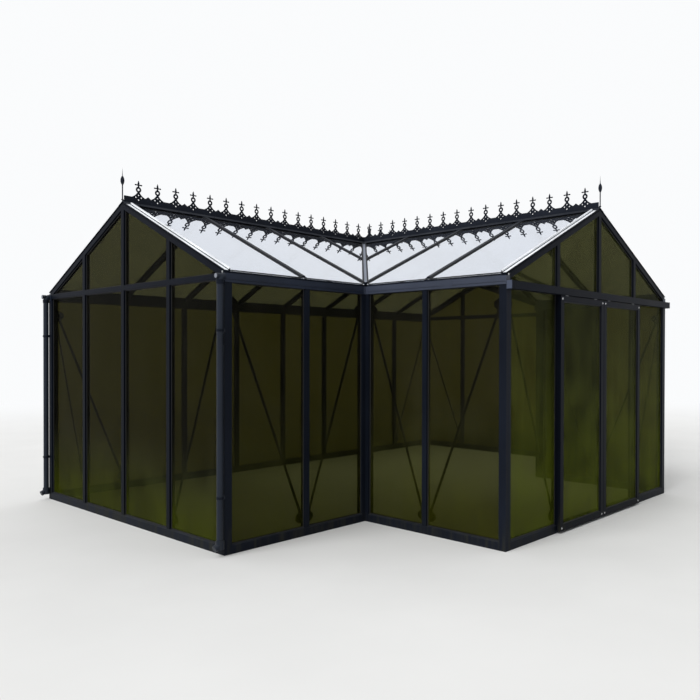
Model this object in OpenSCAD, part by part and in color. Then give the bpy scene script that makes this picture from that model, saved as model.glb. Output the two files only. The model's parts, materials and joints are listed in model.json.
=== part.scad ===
// Glass greenhouse on a T plan: a long house with a gable at each end and a porch with
// double sliding doors in the middle of its front. +Z is up, the doors face -Y, and the
// origin is on the ground under the middle of the whole building. Millimetres.

/* [Plan] */
// Spacing of the wall mullions and roof bars along the long walls
bay = 740; // [640:10:840]
// Distance from the first grid line to the outer face of a wall
edge = 60; // [50:1:80]
// Bays across each gable
gable_bays = 4; // [4:2:6]
// Bays of long wall on each side of the porch
side_bays = 2; // [2:1:4]
// Bays that the porch stands out from the long wall
porch_bays = 2; // [2:1:4]

/* [Heights] */
// Height of the base sill
sill_h = 70; // [50:1:110]
// Height of the wall posts, up to the underside of the gutter
post_h = 2020; // [1800:10:2300]
// Roof pitch in degrees
pitch = 25; // [22:0.5:32]
// Height of the roof surface above the post tops, at the wall face
eave_rise = 88; // [84:1:110]
// Height of the transom centre above the post tops, in the end gables
transom_rise = 44; // [36:1:70]

/* [Frame profiles] */
// Side of a square corner post
post_w = 65; // [60:1:80]
// Width of each wing of an inner corner post
nib_w = 38; // [30:1:50]
// Face width of a wall mullion
mullion_w = 48; // [40:1:60]
// Depth of a wall mullion
mullion_d = 50; // [45:1:55]
// Depth of the base sill
sill_d = 55; // [50:1:70]
// Width of the chamfer along the outer top edge of the base sill
sill_ease = 8; // [4:0.5:12]
// Height of a gable transom
transom_h = 45; // [36:1:60]
// Depth of a gable rafter, square to the slope
rafter_d = 60; // [50:1:80]
// Thickness of a gable rafter, through the wall
rafter_t = 50; // [45:1:60]
// Height of the upstand along the roof edge of a gable
verge_h = 18; // [10:1:24]
// Thickness of the upstand along the roof edge of a gable
verge_w = 12; // [8:1:16]
// Thickness of the lip along the top of a gable rafter's face
verge_lip = 4; // [3:0.5:8]
// Height of the groove under that lip
verge_groove = 18; // [10:1:24]
// Depth of the groove under that lip
verge_groove_d = 8; // [4:0.5:10]
// Face width of a roof bar
bar_w = 45; // [38:1:55]
// Depth of a roof bar, square to the slope
bar_d = 50; // [40:1:60]
// Width of a ridge beam
ridge_w = 60; // [50:1:80]
// Height of the side of a ridge beam
ridge_d = 70; // [50:1:90]
// Width of a valley bar
valley_w = 44; // [40:1:70]
// Depth of a valley bar, square to the slope
valley_d = 60; // [50:1:80]

/* [Glazing] */
// Thickness of a pane
glass_t = 4; // [3:0.5:6]
// Depth of the wall panes behind the outer face
glass_in = 20; // [16:1:24]
// Depth of a glazing groove
bite = 10; // [8:0.5:11]
// Clearance round a pane in its groove
seat = 0.3; // [0.2:0.05:0.5]
// Depth of the roof panes below the face of the roof bars
roof_glass_in = 10; // [8:0.5:14]
// Distance from the wall face in to the lower edge of the roof panes, over the gutter
eave_in = 24; // [16:1:32]
// Distance from the lower edge of the roof panes up to the foot of the roof bars
bar_back = 30; // [26:1:40]

/* [Gutter] */
// Reach of the gutter in front of the wall face
gutter_out = 5; // [4:0.5:12]
// Height of the gutter fascia
gutter_h = 66; // [56:1:66]
// Thickness of the gutter sheet
gutter_t = 4; // [3:0.5:6]
// Depth of the gutter behind the wall face
trough_in = 46; // [40:1:50]
// Height of the gutter's floor above the post tops
trough_floor = 30; // [24:1:40]
// Height of the bead along the foot of the gutter fascia
bead_h = 16; // [8:1:20]
// Height of the groove over that bead
bead_groove = 7; // [4:0.5:12]
// Depth of that groove
bead_d = 4; // [2:0.5:6]
// Depth of the eave beam behind the wall face
eave_d = 95; // [85:1:120]
// Diameter of a downpipe
pipe_d = 50; // [40:1:56]
// Gap between a downpipe and the gable face
pipe_gap = 8; // [8:1:15]
// Distance from the long wall's face in to a downpipe's axis
pipe_in = 8; // [2:1:20]
// Height of the elbow at the head of a downpipe above the post tops
elbow_rise = 7; // [2:1:8]
// Diameter of the round cap on that elbow
elbow_cap_d = 40; // [30:1:44]
// Reach of that cap past the side of the downpipe
elbow_cap_l = 12; // [6:1:18]
// Height of the bend at the foot of a downpipe
shoe_z = 85; // [70:1:140]
// Length of the spout at the foot of a downpipe
shoe_l = 55; // [40:1:80]
// Fall of that spout in degrees
shoe_dip = 25; // [15:1:35]
// Height of the socket round the bend
shoe_socket = 64; // [50:1:90]
// Wall of that socket outside the downpipe
shoe_wall = 7; // [4:0.5:7.5]
// Height of a downpipe's lower clip
clip_low_z = 420; // [250:10:700]
// Height of a downpipe's upper clip
clip_high_z = 1650; // [1200:10:1750]
// Height of a downpipe clip
clip_h = 24; // [16:1:40]
// Width of a downpipe clip
clip_w = 30; // [20:1:45]

/* [Ridge] */
// Half width of the ridge cap
cap_half = 70; // [50:1:90]
// Thickness of the ridge cap
cap_t = 3; // [2:0.5:5]
// Width of the rib on the ridge cap
rib_w = 12; // [8:1:20]
// Height of the rib above the ridge line
rib_h = 10; // [8:1:20]

/* [Cresting] */
// Cresting panels in each bay, with two ornaments each
panels_per_bay = 2; // [1:1:2]
// Thickness of the cresting plate
crest_t = 4; // [3:0.5:6]
// Distance from the face of a gable in to the end of the cresting
crest_in = 16; // [14:0.5:30]
// Gap between two cresting panels
crest_gap = 1; // [0.6:0.1:2]
// Height of the band along the foot of the cresting
band_h = 45; // [40:1:60]
// Half width of an ornament at its foot
flare_w = 55; // [48:1:70]
// Height of an ornament from the band to its neck
flare_h = 45; // [40:1:60]
// Hollow of an ornament's curved sides
flare_dip = 6; // [3:0.5:8]
// Width of an ornament's neck
neck_w = 16; // [12:1:18]
// Side of a diamond hole
eye = 15; // [10:0.5:16]
// Distance of the side holes from the middle of an ornament
eye_x = 26; // [24:0.5:28]
// Distance of the upper and lower holes from the edge of the band
eye_z = 21; // [19:0.5:23]
// Radius of the ring over the neck
ring_r = 25; // [20:0.5:30]
// Radius of the hole in that ring
ring_hole_r = 13; // [9:0.5:15]
// Height from the middle of the ring to the arms of the fleur
fleur_rise = 42; // [38:1:50]
// Half length of those arms, to the middle of the diamond at each end
arm_l = 29; // [22:1:34]
// Thickness of those arms
arm_t = 8; // [6:0.5:10]
// Side of the diamond at the end of an arm
arm_end = 10; // [8:0.5:14]
// Width of the blade over the arms
blade_w = 16; // [12:0.5:20]
// Height of the blade's point above the arms
blade_h = 40; // [30:1:50]
// Width of the tooth between the two ornaments of a panel
tooth_w = 52; // [36:1:60]
// Height of that tooth
tooth_h = 19; // [12:1:26]

/* [Finials] */
// Distance from the face of a gable in to the middle of its finial
finial_in = 2; // [0:0.5:2]
// Height of a gable finial above its seat
finial_h = 285; // [220:5:340]
// Radius of a finial's rod
finial_rod_r = 5; // [4:0.5:7]
// Radius of a finial's foot
finial_foot_r = 10; // [8:0.5:11]
// Height of a finial's foot
finial_foot_h = 8; // [5:0.5:15]
// Radius of a finial's bulb
finial_bulb_r = 17; // [12:0.5:22]
// Length of a finial's bulb
finial_bulb_h = 92; // [70:1:120]
// Height of the middle of a finial's bulb above its seat
finial_bulb_z = 171; // [120:1:190]

/* [Doors] */
// Height of the door rail
track_h = 60; // [56:1:75]
// Reach of the door rail in front of the gable face
track_d = 50; // [48:1:60]
// Height of the door rail's top above the post tops
track_rise = 25; // [22:1:34]
// Wall thickness of the door rail
track_t = 4; // [3:0.5:5]
// Width of the slot along the underside of the door rail
track_slot = 18; // [17:1:20]
// Thickness of a door leaf
leaf_t = 34; // [28:1:34]
// Face width of a door stile
stile_w = 52; // [40:1:60]
// Height of a door's top rail
leaf_top_h = 50; // [40:1:70]
// Height of a door's bottom rail
leaf_foot_h = 55; // [40:1:80]
// Height of a door's lower edge above the ground
leaf_z0 = 18; // [10:1:40]
// Lap of a door past the middle of the mullion beside the doorway
leaf_lap = 34; // [30:1:45]
// Gap between the two closed doors
leaf_gap = 6; // [5:0.5:10]
// Clearance between a moving door and what it passes
leaf_clear = 6; // [5:0.5:8]
// Diameter of a door roller
roller_d = 28; // [22:1:30]
// Width of a door roller
roller_w = 9; // [7:0.5:10]
// Running clearance under a roller
roller_run = 0.3; // [0.2:0.05:0.5]
// Diameter of a roller's axle
axle_d = 9; // [6:0.5:12]
// Gap between a roller and its hanger plate
roller_gap = 2; // [1:0.5:3]
// Thickness of a hanger plate
hanger_t = 6; // [4:0.5:7]
// Width of a hanger plate
hanger_w = 40; // [30:1:60]
// Distance from a hanger's middle to the edge of its door
hanger_in = 130; // [80:5:200]

/* [Braces] */
// Width of a diagonal brace
brace_w = 22; // [15:1:35]
// Thickness of a diagonal brace
brace_t = 5; // [3:0.5:8]
// Depth of the braces behind the outer face of the wall
brace_in = 30; // [28:1:36]
// Distance from a brace's head to the post tops
brace_drop = 130; // [80:5:250]
// Distance from a brace's foot to the top of the sill
brace_lift = 60; // [40:5:150]

/* [Hidden] */
$fn = 48;

// Length by which a cutting shape runs past the face that it cuts
over = 1;
frame_black = "#1d2330";
trim_black = "#262c38";
wall_tint = [0.24, 0.25, 0.18, 0.55];
roof_tint = [0.72, 0.76, 0.84, 0.6];
steel = "#9aa0a6";

// Plan
span = gable_bays * bay + 2 * edge;
side_l = side_bays * bay;
porch_l = porch_bays * bay;
main_l = span + 2 * side_l;
half_x = main_l / 2;
half_w = span / 2;
main_bays = gable_bays + 2 * side_bays;
back_out = max(gutter_out, pipe_d / 2 + shoe_wall - pipe_in);
y_back = (span + porch_l + track_d - back_out) / 2;
y_front = y_back - span;
y_porch = y_front - porch_l;
y_ridge = y_front + half_w;
gable_bay = (span - post_w) / gable_bays;

// Roof
slope_run = cos(pitch);
roof_bed = roof_glass_in + glass_t + seat;
roof_groove = roof_glass_in - seat;
slot_w = glass_t + 2 * seat;
apex = roof_z(half_w);
ridge_side = half_w - ridge_w / 2;
sky = apex + finial_h;
mitre = sqrt(2);

// Doors
track_z1 = post_h + track_rise;
track_z0 = track_z1 - track_h;
lintel_z = (track_z0 + track_z1) / 2;
transom_z = post_h + transom_rise;
leaf_mid = track_d / 2;
leaf_back = leaf_mid - leaf_t / 2;
leaf_z1 = track_z0 - leaf_clear;
leaf_u0 = gable_mark(gable_bays / 2 - 1) - leaf_lap;
leaf_u1 = half_w - leaf_gap / 2;
leaf_w = leaf_u1 - leaf_u0;
axle_z = track_z0 + track_t + roller_run + roller_d / 2;

// Height of the roof surface at a distance in from the wall face
function roof_z(v) = post_h + eave_rise + v * tan(pitch);
// Height at a depth below the roof surface, square to the slope
function under_roof(v, d) = roof_z(v) - d / slope_run;
// Middle of each mullion along an end gable
function gable_mark(k) = post_w / 2 + k * gable_bay;
// Grid lines along a long wall, from its outer corner
function grid_mark(k) = edge + k * bay;

function gable_marks() = [for (k = [1 : gable_bays - 1]) gable_mark(k)];
function back_marks() = [for (k = [1 : main_bays - 1]) grid_mark(k)];
function front_marks() = [for (k = [1 : side_bays - 1]) grid_mark(k)];
function porch_marks() = [for (k = [porch_bays - 1 : -1 : 1]) porch_l - grid_mark(k)];

// Clear widths between one end of a wall, its mullions and its other end
function clear_spans(a, marks, b) = [
    for (i = [0 : len(marks)]) [
        i == 0 ? a : marks[i - 1] + mullion_w / 2,
        i == len(marks) ? b : marks[i] - mullion_w / 2
    ]
];
function gable_spans() = clear_spans(post_w, gable_marks(), span - post_w);
function back_spans() = clear_spans(post_w, back_marks(), main_l - post_w);
function front_spans() = clear_spans(post_w, front_marks(), side_l - nib_w);
function porch_spans() = clear_spans(nib_w, porch_marks(), porch_l - post_w);

// Walls, each seen from outside: x runs along the wall, y goes in from its face

module on_back_wall() { translate([half_x, y_back, 0]) rotate(180) children(); }
module on_left_gable() { translate([-half_x, y_back, 0]) rotate(-90) children(); }
module on_porch_gable() { translate([-half_w, y_porch, 0]) children(); }
module on_left_front() { translate([-half_x, y_front, 0]) children(); }
module on_left_porch() { translate([-half_w, y_front, 0]) rotate(-90) children(); }

module both_sides() {
    children();
    mirror([1, 0, 0]) children();
}

// An outline drawn in depth and height, run along a wall from u0 to u1
module along(u0, u1) {
    translate([u0, 0, 0]) rotate([90, 0, 90]) linear_extrude(u1 - u0) children();
}

// An outline drawn on the face of a wall, with its depth from v0 to v1
module through(v0, v1) {
    translate([0, v1, 0]) rotate([90, 0, 0]) linear_extrude(v1 - v0) children();
}

// Profiles

module post_profile() {
    difference() {
        square(post_w);
        translate([post_w - bite, glass_in - seat]) square([bite + over, slot_w]);
        translate([glass_in - seat, post_w - bite]) square([slot_w, bite + over]);
    }
}

module inner_post_profile() {
    difference() {
        union() {
            translate([-nib_w, 0]) square([post_w + nib_w, post_w]);
            translate([0, -nib_w]) square([post_w, post_w + nib_w]);
        }
        translate([-nib_w - over, glass_in - seat]) square([bite + over, slot_w]);
        translate([glass_in - seat, -nib_w - over]) square([slot_w, bite + over]);
    }
}

module mullion_profile() {
    difference() {
        translate([-mullion_w / 2, 0]) square([mullion_w, mullion_d]);
        for (s = [0, 1]) {
            mirror([s, 0]) translate([mullion_w / 2 - bite, glass_in - seat])
                square([bite + over, slot_w]);
        }
    }
}

module sill_profile() {
    difference() {
        polygon([
            [0, 0], [sill_d, 0], [sill_d, sill_h], [sill_ease, sill_h], [0, sill_h - sill_ease]
        ]);
        translate([glass_in - seat, sill_h - bite]) square([slot_w, bite + over]);
    }
}

module transom_profile() {
    difference() {
        translate([0, -transom_h / 2]) square([mullion_d, transom_h]);
        for (s = [0, 1]) {
            mirror([0, s]) translate([glass_in - seat, transom_h / 2 - bite])
                square([slot_w, bite + over]);
        }
    }
}

// A layer of the roof between two depths, from v0 to v1 in from the wall face
module slope_layer(v0, v1, d0, d1) {
    polygon([
        [v0, under_roof(v0, d1)], [v1, under_roof(v1, d1)],
        [v1, under_roof(v1, d0)], [v0, under_roof(v0, d0)]
    ]);
}

// The opening of a gable under its rafters and between its posts, grown on all sides
module gable_opening(grow) {
    foot_u = post_w - grow;
    foot_z = under_roof(foot_u, rafter_d - grow);
    polygon([
        [foot_u, 0], [span - foot_u, 0], [span - foot_u, foot_z],
        [half_w, under_roof(half_w, rafter_d - grow)], [foot_u, foot_z]
    ]);
}

// Section of a gutter: a channel over the wall head, with a bead along the foot of its fascia
module trough_profile() {
    inner = -gutter_out + bead_d + gutter_t;
    top = post_h + gutter_h;
    bed = post_h + trough_floor;
    low = post_h + bead_h;
    difference() {
        polygon([
            [-gutter_out, post_h], [trough_in, post_h], [trough_in, top],
            [trough_in - gutter_t, top], [trough_in - gutter_t, bed], [inner, bed],
            [inner, top], [-gutter_out, top], [-gutter_out, low + bead_groove],
            [-gutter_out + bead_d, low + bead_groove], [-gutter_out + bead_d, low],
            [-gutter_out, low]
        ]);
        translate([glass_in - seat, post_h - over]) square([slot_w, bite + over]);
    }
}

module trough_end() {
    translate([-gutter_out, post_h]) square([gutter_out + trough_in, gutter_h]);
}

module eave_profile() {
    polygon([
        [trough_in, post_h], [eave_d, post_h], [eave_d, under_roof(eave_d, roof_bed)],
        [trough_in, under_roof(trough_in, roof_bed)]
    ]);
}

module ridge_profile() {
    low = roof_z(ridge_side) - ridge_d;
    difference() {
        polygon([
            [-ridge_w / 2, low], [ridge_w / 2, low], [ridge_w / 2, roof_z(ridge_side)],
            [0, apex], [-ridge_w / 2, roof_z(ridge_side)]
        ]);
        for (s = [0, 1]) {
            mirror([s, 0]) translate([-half_w, 0])
                slope_layer(ridge_side - over, ridge_side + bite, roof_groove, roof_bed);
        }
    }
}

module cap_profile() {
    lift = cap_t / slope_run;
    skirt_z = roof_z(half_w - cap_half);
    root_z = roof_z(half_w - rib_w / 2) + lift;
    polygon([
        [-cap_half, skirt_z], [0, apex], [cap_half, skirt_z], [cap_half, skirt_z + lift],
        [rib_w / 2, root_z], [rib_w / 2, apex + rib_h], [-rib_w / 2, apex + rib_h],
        [-rib_w / 2, root_z], [-cap_half, skirt_z + lift]
    ]);
}

// Everything under the outer face of a ridge cap, across one roof
module under_cap() {
    lift = cap_t / slope_run;
    polygon([
        [-half_w, roof_z(0) + lift], [-half_w, 0], [half_w, 0],
        [half_w, roof_z(0) + lift], [0, apex + lift]
    ]);
}

// The part of the front slope that lies at least off away from the left valley
module front_of_valley(off) {
    low = -gutter_out - over;
    linear_extrude(sky) polygon([
        [-over, low], [side_l + low - off * mitre, low],
        [side_l + half_w - off * mitre, half_w], [-over, half_w]
    ]);
}

// The part of the porch slope that lies at least off away from the left valley
module porch_of_valley(off) {
    low = -gutter_out - over;
    high = porch_l + over;
    linear_extrude(sky) polygon([
        [off * mitre - low, low], [high, low], [high, half_w], [off * mitre - half_w, half_w]
    ]);
}

// Repeated pieces

module mullion(u, z0, z1) {
    translate([u, 0, z0]) linear_extrude(z1 - z0) mullion_profile();
}

module wall_pane(s, z0, z1) {
    through(glass_in, glass_in + glass_t)
        translate([s[0] - bite + seat, z0 - bite + seat])
            square([s[1] - s[0] + 2 * (bite - seat), z1 - z0 + 2 * (bite - seat)]);
}

module gable_pane(s, z0, z1) {
    through(glass_in, glass_in + glass_t) intersection() {
        translate([s[0] - bite + seat, z0 - bite + seat])
            square([s[1] - s[0] + 2 * (bite - seat), z1 - z0 + 2 * (bite - seat)]);
        gable_opening(bite - seat);
    }
}

// A brace from a high end at u0 to a low end at u1
module brace(u0, u1) {
    head = post_h - brace_drop;
    foot = sill_h + brace_lift;
    half_h = brace_w / 2 / cos(atan2(head - foot, abs(u1 - u0)));
    through(brace_in, brace_in + brace_t) polygon([
        [u0, head - half_h], [u1, foot - half_h], [u1, foot + half_h], [u0, head + half_h]
    ]);
}

module brace_pair(spans) {
    last = spans[len(spans) - 1];
    brace(spans[0][0], spans[0][1]);
    brace(last[1], last[0]);
}

// A roof bar with a groove on each side, notched at its foot to sit on the eave beam, and a
// tongue that fills the joint between the panes below its foot
module roof_bar(u) {
    foot = eave_in + bar_back;
    along(u - bar_w / 2 + bite, u + bar_w / 2 - bite)
        slope_layer(eave_in, foot + over, roof_glass_in, roof_bed);
    difference() {
        along(u - bar_w / 2, u + bar_w / 2) polygon([
            [foot, under_roof(foot, roof_bed)], [eave_d, under_roof(eave_d, roof_bed)],
            [eave_d, under_roof(eave_d, bar_d)], [ridge_side, under_roof(ridge_side, bar_d)],
            [ridge_side, roof_z(ridge_side)], [foot, roof_z(foot)]
        ]);
        for (side = [-bar_w / 2 - over, bar_w / 2 - bite]) {
            along(u + side, u + side + bite + over) {
                slope_layer(foot - over, ridge_side + over, roof_groove, roof_bed);
                slope_layer(foot - over, eave_d, roof_groove, roof_bed + over);
            }
        }
    }
}

// A roof pane between the webs at u0 and u1
module roof_pane(u0, u1) {
    along(u0 + seat, u1 - seat)
        slope_layer(eave_in, ridge_side + bite - seat, roof_glass_in, roof_glass_in + glass_t);
}

// Webs that hold the roof panes of one slope, from the gable rafter on
function web_gap(k) = [
    k == 0 ? rafter_t - bite : grid_mark(k) + bar_w / 2 - bite,
    grid_mark(k + 1) - bar_w / 2 + bite
];

// Fixed frame

module base_sills() {
    color(frame_black) {
        on_back_wall() along(post_w, main_l - post_w) sill_profile();
        on_porch_gable() along(post_w, span - post_w) sill_profile();
        both_sides() {
            on_left_gable() along(post_w, span - post_w) sill_profile();
            on_left_front() along(post_w, side_l - nib_w) sill_profile();
            on_left_porch() along(nib_w, porch_l - post_w) sill_profile();
        }
    }
}

module corner_posts() {
    color(frame_black) both_sides() {
        translate([-half_x, y_front, 0]) linear_extrude(post_h) post_profile();
        translate([-half_w, y_porch, 0]) linear_extrude(post_h) post_profile();
        translate([-half_x, y_back, 0]) mirror([0, 1, 0]) linear_extrude(post_h)
            post_profile();
        translate([-half_w, y_front, 0]) linear_extrude(post_h) inner_post_profile();
    }
}

module back_wall_mullions() {
    color(frame_black) on_back_wall() {
        for (u = back_marks()) mullion(u, sill_h, post_h);
    }
}

module side_wall_mullions() {
    color(frame_black) both_sides() {
        on_left_front() for (u = front_marks()) mullion(u, sill_h, post_h);
        on_left_porch() for (u = porch_marks()) mullion(u, sill_h, post_h);
    }
}

// Mullions of a gable under and over its transom, without the lower ones in skip
module gable_mullions(cross_z, skip) {
    for (k = [1 : gable_bays - 1]) {
        if (k != skip) mullion(gable_mark(k), sill_h, cross_z - transom_h / 2);
        intersection() {
            mullion(gable_mark(k), cross_z + transom_h / 2, apex);
            through(-over, mullion_d + over) gable_opening(0);
        }
    }
}

module left_gable_mullions() {
    color(frame_black) on_left_gable() gable_mullions(transom_z, 0);
}

module right_gable_mullions() {
    color(frame_black) mirror([1, 0, 0]) on_left_gable() gable_mullions(transom_z, 0);
}

module porch_gable_mullions() {
    color(frame_black) on_porch_gable() gable_mullions(lintel_z, gable_bays / 2);
}

module gable_transom(z) {
    intersection() {
        translate([0, 0, z]) along(post_w, span - post_w) transom_profile();
        through(-over, mullion_d + over) gable_opening(0);
    }
}

module gable_transoms() {
    color(frame_black) {
        on_porch_gable() gable_transom(lintel_z);
        both_sides() on_left_gable() gable_transom(transom_z);
    }
}

module both_slopes() {
    translate([half_w, 0, 0]) both_sides() translate([-half_w, 0, 0]) children();
}

// The pair of rafters that tops a gable wall, notched over the gutters, with an upstand along
// the roof edge, and grooved for its own panes, for the roof's and along the face
module gable_rafter_pair() {
    notch_z = post_h + gutter_h;
    difference() {
        union() {
            through(0, rafter_t) difference() {
                polygon([
                    [trough_in, post_h], [trough_in, notch_z], [0, notch_z], [0, roof_z(0)],
                    [half_w, apex], [span, roof_z(0)], [span, notch_z],
                    [span - trough_in, notch_z], [span - trough_in, post_h]
                ]);
                gable_opening(0);
            }
            both_slopes() through(rafter_t - verge_w - over, rafter_t - over)
                slope_layer(0, half_w - cap_half - over, -verge_h, over);
        }
        through(glass_in - seat, glass_in + glass_t + seat) gable_opening(bite);
        both_slopes() {
            through(rafter_t - bite, rafter_t + over)
                slope_layer(-over, half_w, roof_groove, roof_bed);
            through(-over, verge_groove_d)
                slope_layer(-over, half_w, verge_lip, verge_lip + verge_groove);
        }
    }
}

module gable_rafters() {
    color(frame_black) {
        on_porch_gable() gable_rafter_pair();
        both_sides() on_left_gable() gable_rafter_pair();
    }
}

// Eaves

module back_gutter() {
    color(frame_black) on_back_wall() {
        along(0, main_l) trough_profile();
        for (u = [0, main_l - gutter_t]) along(u, u + gutter_t) trough_end();
        along(rafter_t, main_l - rafter_t) eave_profile();
    }
}

module front_gutters() {
    color(frame_black) both_sides() on_left_front() {
        intersection() {
            union() {
                along(0, side_l + trough_in) trough_profile();
                along(0, gutter_t) trough_end();
            }
            front_of_valley(0);
        }
        intersection() {
            along(rafter_t, side_l + eave_d) eave_profile();
            front_of_valley(valley_w / 2);
        }
    }
}

module porch_gutters() {
    color(frame_black) both_sides() on_left_porch() {
        intersection() {
            union() {
                along(-trough_in, porch_l) trough_profile();
                along(porch_l - gutter_t, porch_l) trough_end();
            }
            porch_of_valley(0);
        }
        intersection() {
            along(-eave_d, porch_l - rafter_t) eave_profile();
            porch_of_valley(valley_w / 2);
        }
    }
}

// Roof frame

module main_ridge_beam() {
    color(frame_black) translate([0, y_ridge, 0])
        along(-half_x + rafter_t, half_x - rafter_t) ridge_profile();
}

module porch_ridge_beam() {
    color(frame_black) translate([0, y_porch, 0])
        through(rafter_t, porch_l + ridge_side) ridge_profile();
}

module back_roof_bars() {
    color(frame_black) on_back_wall() for (u = back_marks()) roof_bar(u);
}

// Bars of the front slope, each cut off where it meets the valley
module front_roof_bars() {
    color(frame_black) both_sides() on_left_front() {
        for (k = [1 : main_bays / 2 - 1]) {
            intersection() {
                roof_bar(grid_mark(k));
                front_of_valley(valley_w / 2);
            }
        }
    }
}

module porch_roof_bars() {
    color(frame_black) both_sides() on_left_porch() {
        for (k = [1 : porch_bays + gable_bays / 2 - 1]) {
            intersection() {
                roof_bar(porch_l - grid_mark(k));
                porch_of_valley(valley_w / 2);
            }
        }
    }
}

// A valley bar follows both slopes, from the inner corner post up to the two ridge beams
module valley_bars() {
    reach = half_w - ridge_w / 2;
    color(frame_black) both_sides() difference() {
        intersection() {
            translate([trough_in - half_w, y_front + trough_in, post_h])
                cube([reach - trough_in, reach - trough_in, sky]);
            translate([-half_w, y_front, 0]) rotate(45) translate([0, -valley_w / 2, 0])
                cube([reach * mitre + valley_w, valley_w, sky]);
            union() {
                on_left_front() along(side_l, side_l + half_w)
                    slope_layer(0, half_w, 0, valley_d);
                on_left_porch() along(-half_w, 0) slope_layer(0, half_w, 0, valley_d);
            }
        }
        on_left_front() intersection() {
            along(side_l - valley_w, side_l + half_w)
                slope_layer(-over, half_w, roof_groove, roof_bed);
            front_of_valley(valley_w / 2 - bite);
        }
        on_left_porch() intersection() {
            along(-half_w, valley_w) slope_layer(-over, half_w, roof_groove, roof_bed);
            porch_of_valley(valley_w / 2 - bite);
        }
    }
}

// Glazing

module back_wall_glass() {
    color(wall_tint) on_back_wall() for (s = back_spans()) wall_pane(s, sill_h, post_h);
}

module front_wall_glass() {
    color(wall_tint) both_sides() on_left_front() {
        for (s = front_spans()) wall_pane(s, sill_h, post_h);
    }
}

module porch_side_glass() {
    color(wall_tint) both_sides() on_left_porch() {
        for (s = porch_spans()) wall_pane(s, sill_h, post_h);
    }
}

module end_gable_panes() {
    for (s = gable_spans()) {
        gable_pane(s, sill_h, transom_z - transom_h / 2);
        gable_pane(s, transom_z + transom_h / 2, apex);
    }
}

module left_gable_glass() {
    color(wall_tint) on_left_gable() end_gable_panes();
}

module right_gable_glass() {
    color(wall_tint) mirror([1, 0, 0]) on_left_gable() end_gable_panes();
}

// The two middle bays are the doorway, so they have panes only over the lintel
module porch_gable_glass() {
    spans = gable_spans();
    color(wall_tint) on_porch_gable() for (i = [0 : gable_bays - 1]) {
        if (abs(i + 0.5 - gable_bays / 2) > 1) {
            gable_pane(spans[i], sill_h, lintel_z - transom_h / 2);
        }
        gable_pane(spans[i], lintel_z + transom_h / 2, apex);
    }
}

module back_roof_glass() {
    color(roof_tint) on_back_wall() for (k = [0 : main_bays - 1]) {
        gap = web_gap(min(k, main_bays - 1 - k));
        if (k < main_bays / 2) roof_pane(gap[0], gap[1]);
        else roof_pane(main_l - gap[1], main_l - gap[0]);
    }
}

module front_roof_glass() {
    color(roof_tint) both_sides() on_left_front() {
        for (k = [0 : main_bays / 2 - 1]) {
            gap = web_gap(k);
            intersection() {
                roof_pane(gap[0], gap[1]);
                front_of_valley(valley_w / 2 - bite + seat);
            }
        }
    }
}

module porch_roof_glass() {
    color(roof_tint) both_sides() on_left_porch() {
        for (k = [0 : porch_bays + gable_bays / 2 - 1]) {
            gap = web_gap(k);
            intersection() {
                roof_pane(porch_l - gap[1], porch_l - gap[0]);
                porch_of_valley(valley_w / 2 - bite + seat);
            }
        }
    }
}

// Ridge

module main_ridge_cap() {
    color(trim_black) difference() {
        translate([0, y_ridge, 0]) along(-half_x, half_x) cap_profile();
        translate([0, y_porch, 0]) through(0, porch_l + half_w - rib_w / 2 + over) under_cap();
    }
}

module porch_ridge_cap() {
    color(trim_black) difference() {
        translate([0, y_porch, 0]) through(0, porch_l + half_w - rib_w / 2) cap_profile();
        translate([0, y_ridge, 0]) along(-half_w, half_w) under_cap();
    }
}

panel_l = bay / panels_per_bay;
crest_pitch = panel_l / 2;
neck_z = band_h + flare_h;
ring_z = neck_z + ring_r;
fleur_z = ring_z + fleur_rise;

// A concave outline that narrows upwards from the band to a neck
module flare() {
    run = flare_w - neck_w / 2;
    half_chord = norm([run, flare_h]) / 2;
    radius = (pow(half_chord, 2) + pow(flare_dip, 2)) / (2 * flare_dip);
    away = (radius - flare_dip) / (2 * half_chord);
    difference() {
        polygon([
            [-flare_w, band_h - over], [flare_w, band_h - over], [flare_w, band_h],
            [neck_w / 2, neck_z], [neck_w / 2, ring_z - ring_hole_r - over],
            [-neck_w / 2, ring_z - ring_hole_r - over], [-neck_w / 2, neck_z],
            [-flare_w, band_h]
        ]);
        for (s = [-1, 1]) {
            translate([
                s * (flare_w + neck_w / 2) / 2 + s * away * flare_h,
                (band_h + neck_z) / 2 + away * run
            ]) circle(radius, $fn = 120);
        }
    }
}

// Cross arms with diamond ends, and a pointed blade on a stem over the ring
module fleur() {
    stem_z = ring_r - fleur_rise - over;
    square([2 * arm_l, arm_t], center = true);
    for (s = [-1, 1]) translate([s * arm_l, 0]) rotate(45) square(arm_end, center = true);
    polygon([
        [-arm_t / 2, stem_z], [arm_t / 2, stem_z], [blade_w / 2, blade_h / 3],
        [0, blade_h], [-blade_w / 2, blade_h / 3]
    ]);
}

// One ornament of the cresting, standing on the band
module crest_ornament() {
    flare();
    translate([0, ring_z]) difference() {
        circle(ring_r);
        circle(ring_hole_r);
    }
    translate([0, fleur_z]) fleur();
}

module crest_eyes() {
    for (p = [[0, eye_z], [0, -eye_z], [-eye_x, 0], [eye_x, 0]]) {
        translate([p[0], band_h + p[1]]) rotate(45) square(eye, center = true);
    }
}

// A length of cresting from first to last: two ornaments with a tooth between them
module crest_panel(first, last) {
    marks = [crest_pitch / 2, panel_l - crest_pitch / 2];
    difference() {
        union() {
            translate([first, 0]) square([last - first, band_h]);
            for (x = marks) translate([x, 0]) crest_ornament();
            translate([crest_pitch, band_h]) polygon([
                [-tooth_w / 2, 0], [-tooth_w / 2, -over], [tooth_w / 2, -over],
                [tooth_w / 2, 0], [0, tooth_h]
            ]);
        }
        for (x = marks) translate([x, 0]) crest_eyes();
    }
}

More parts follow.
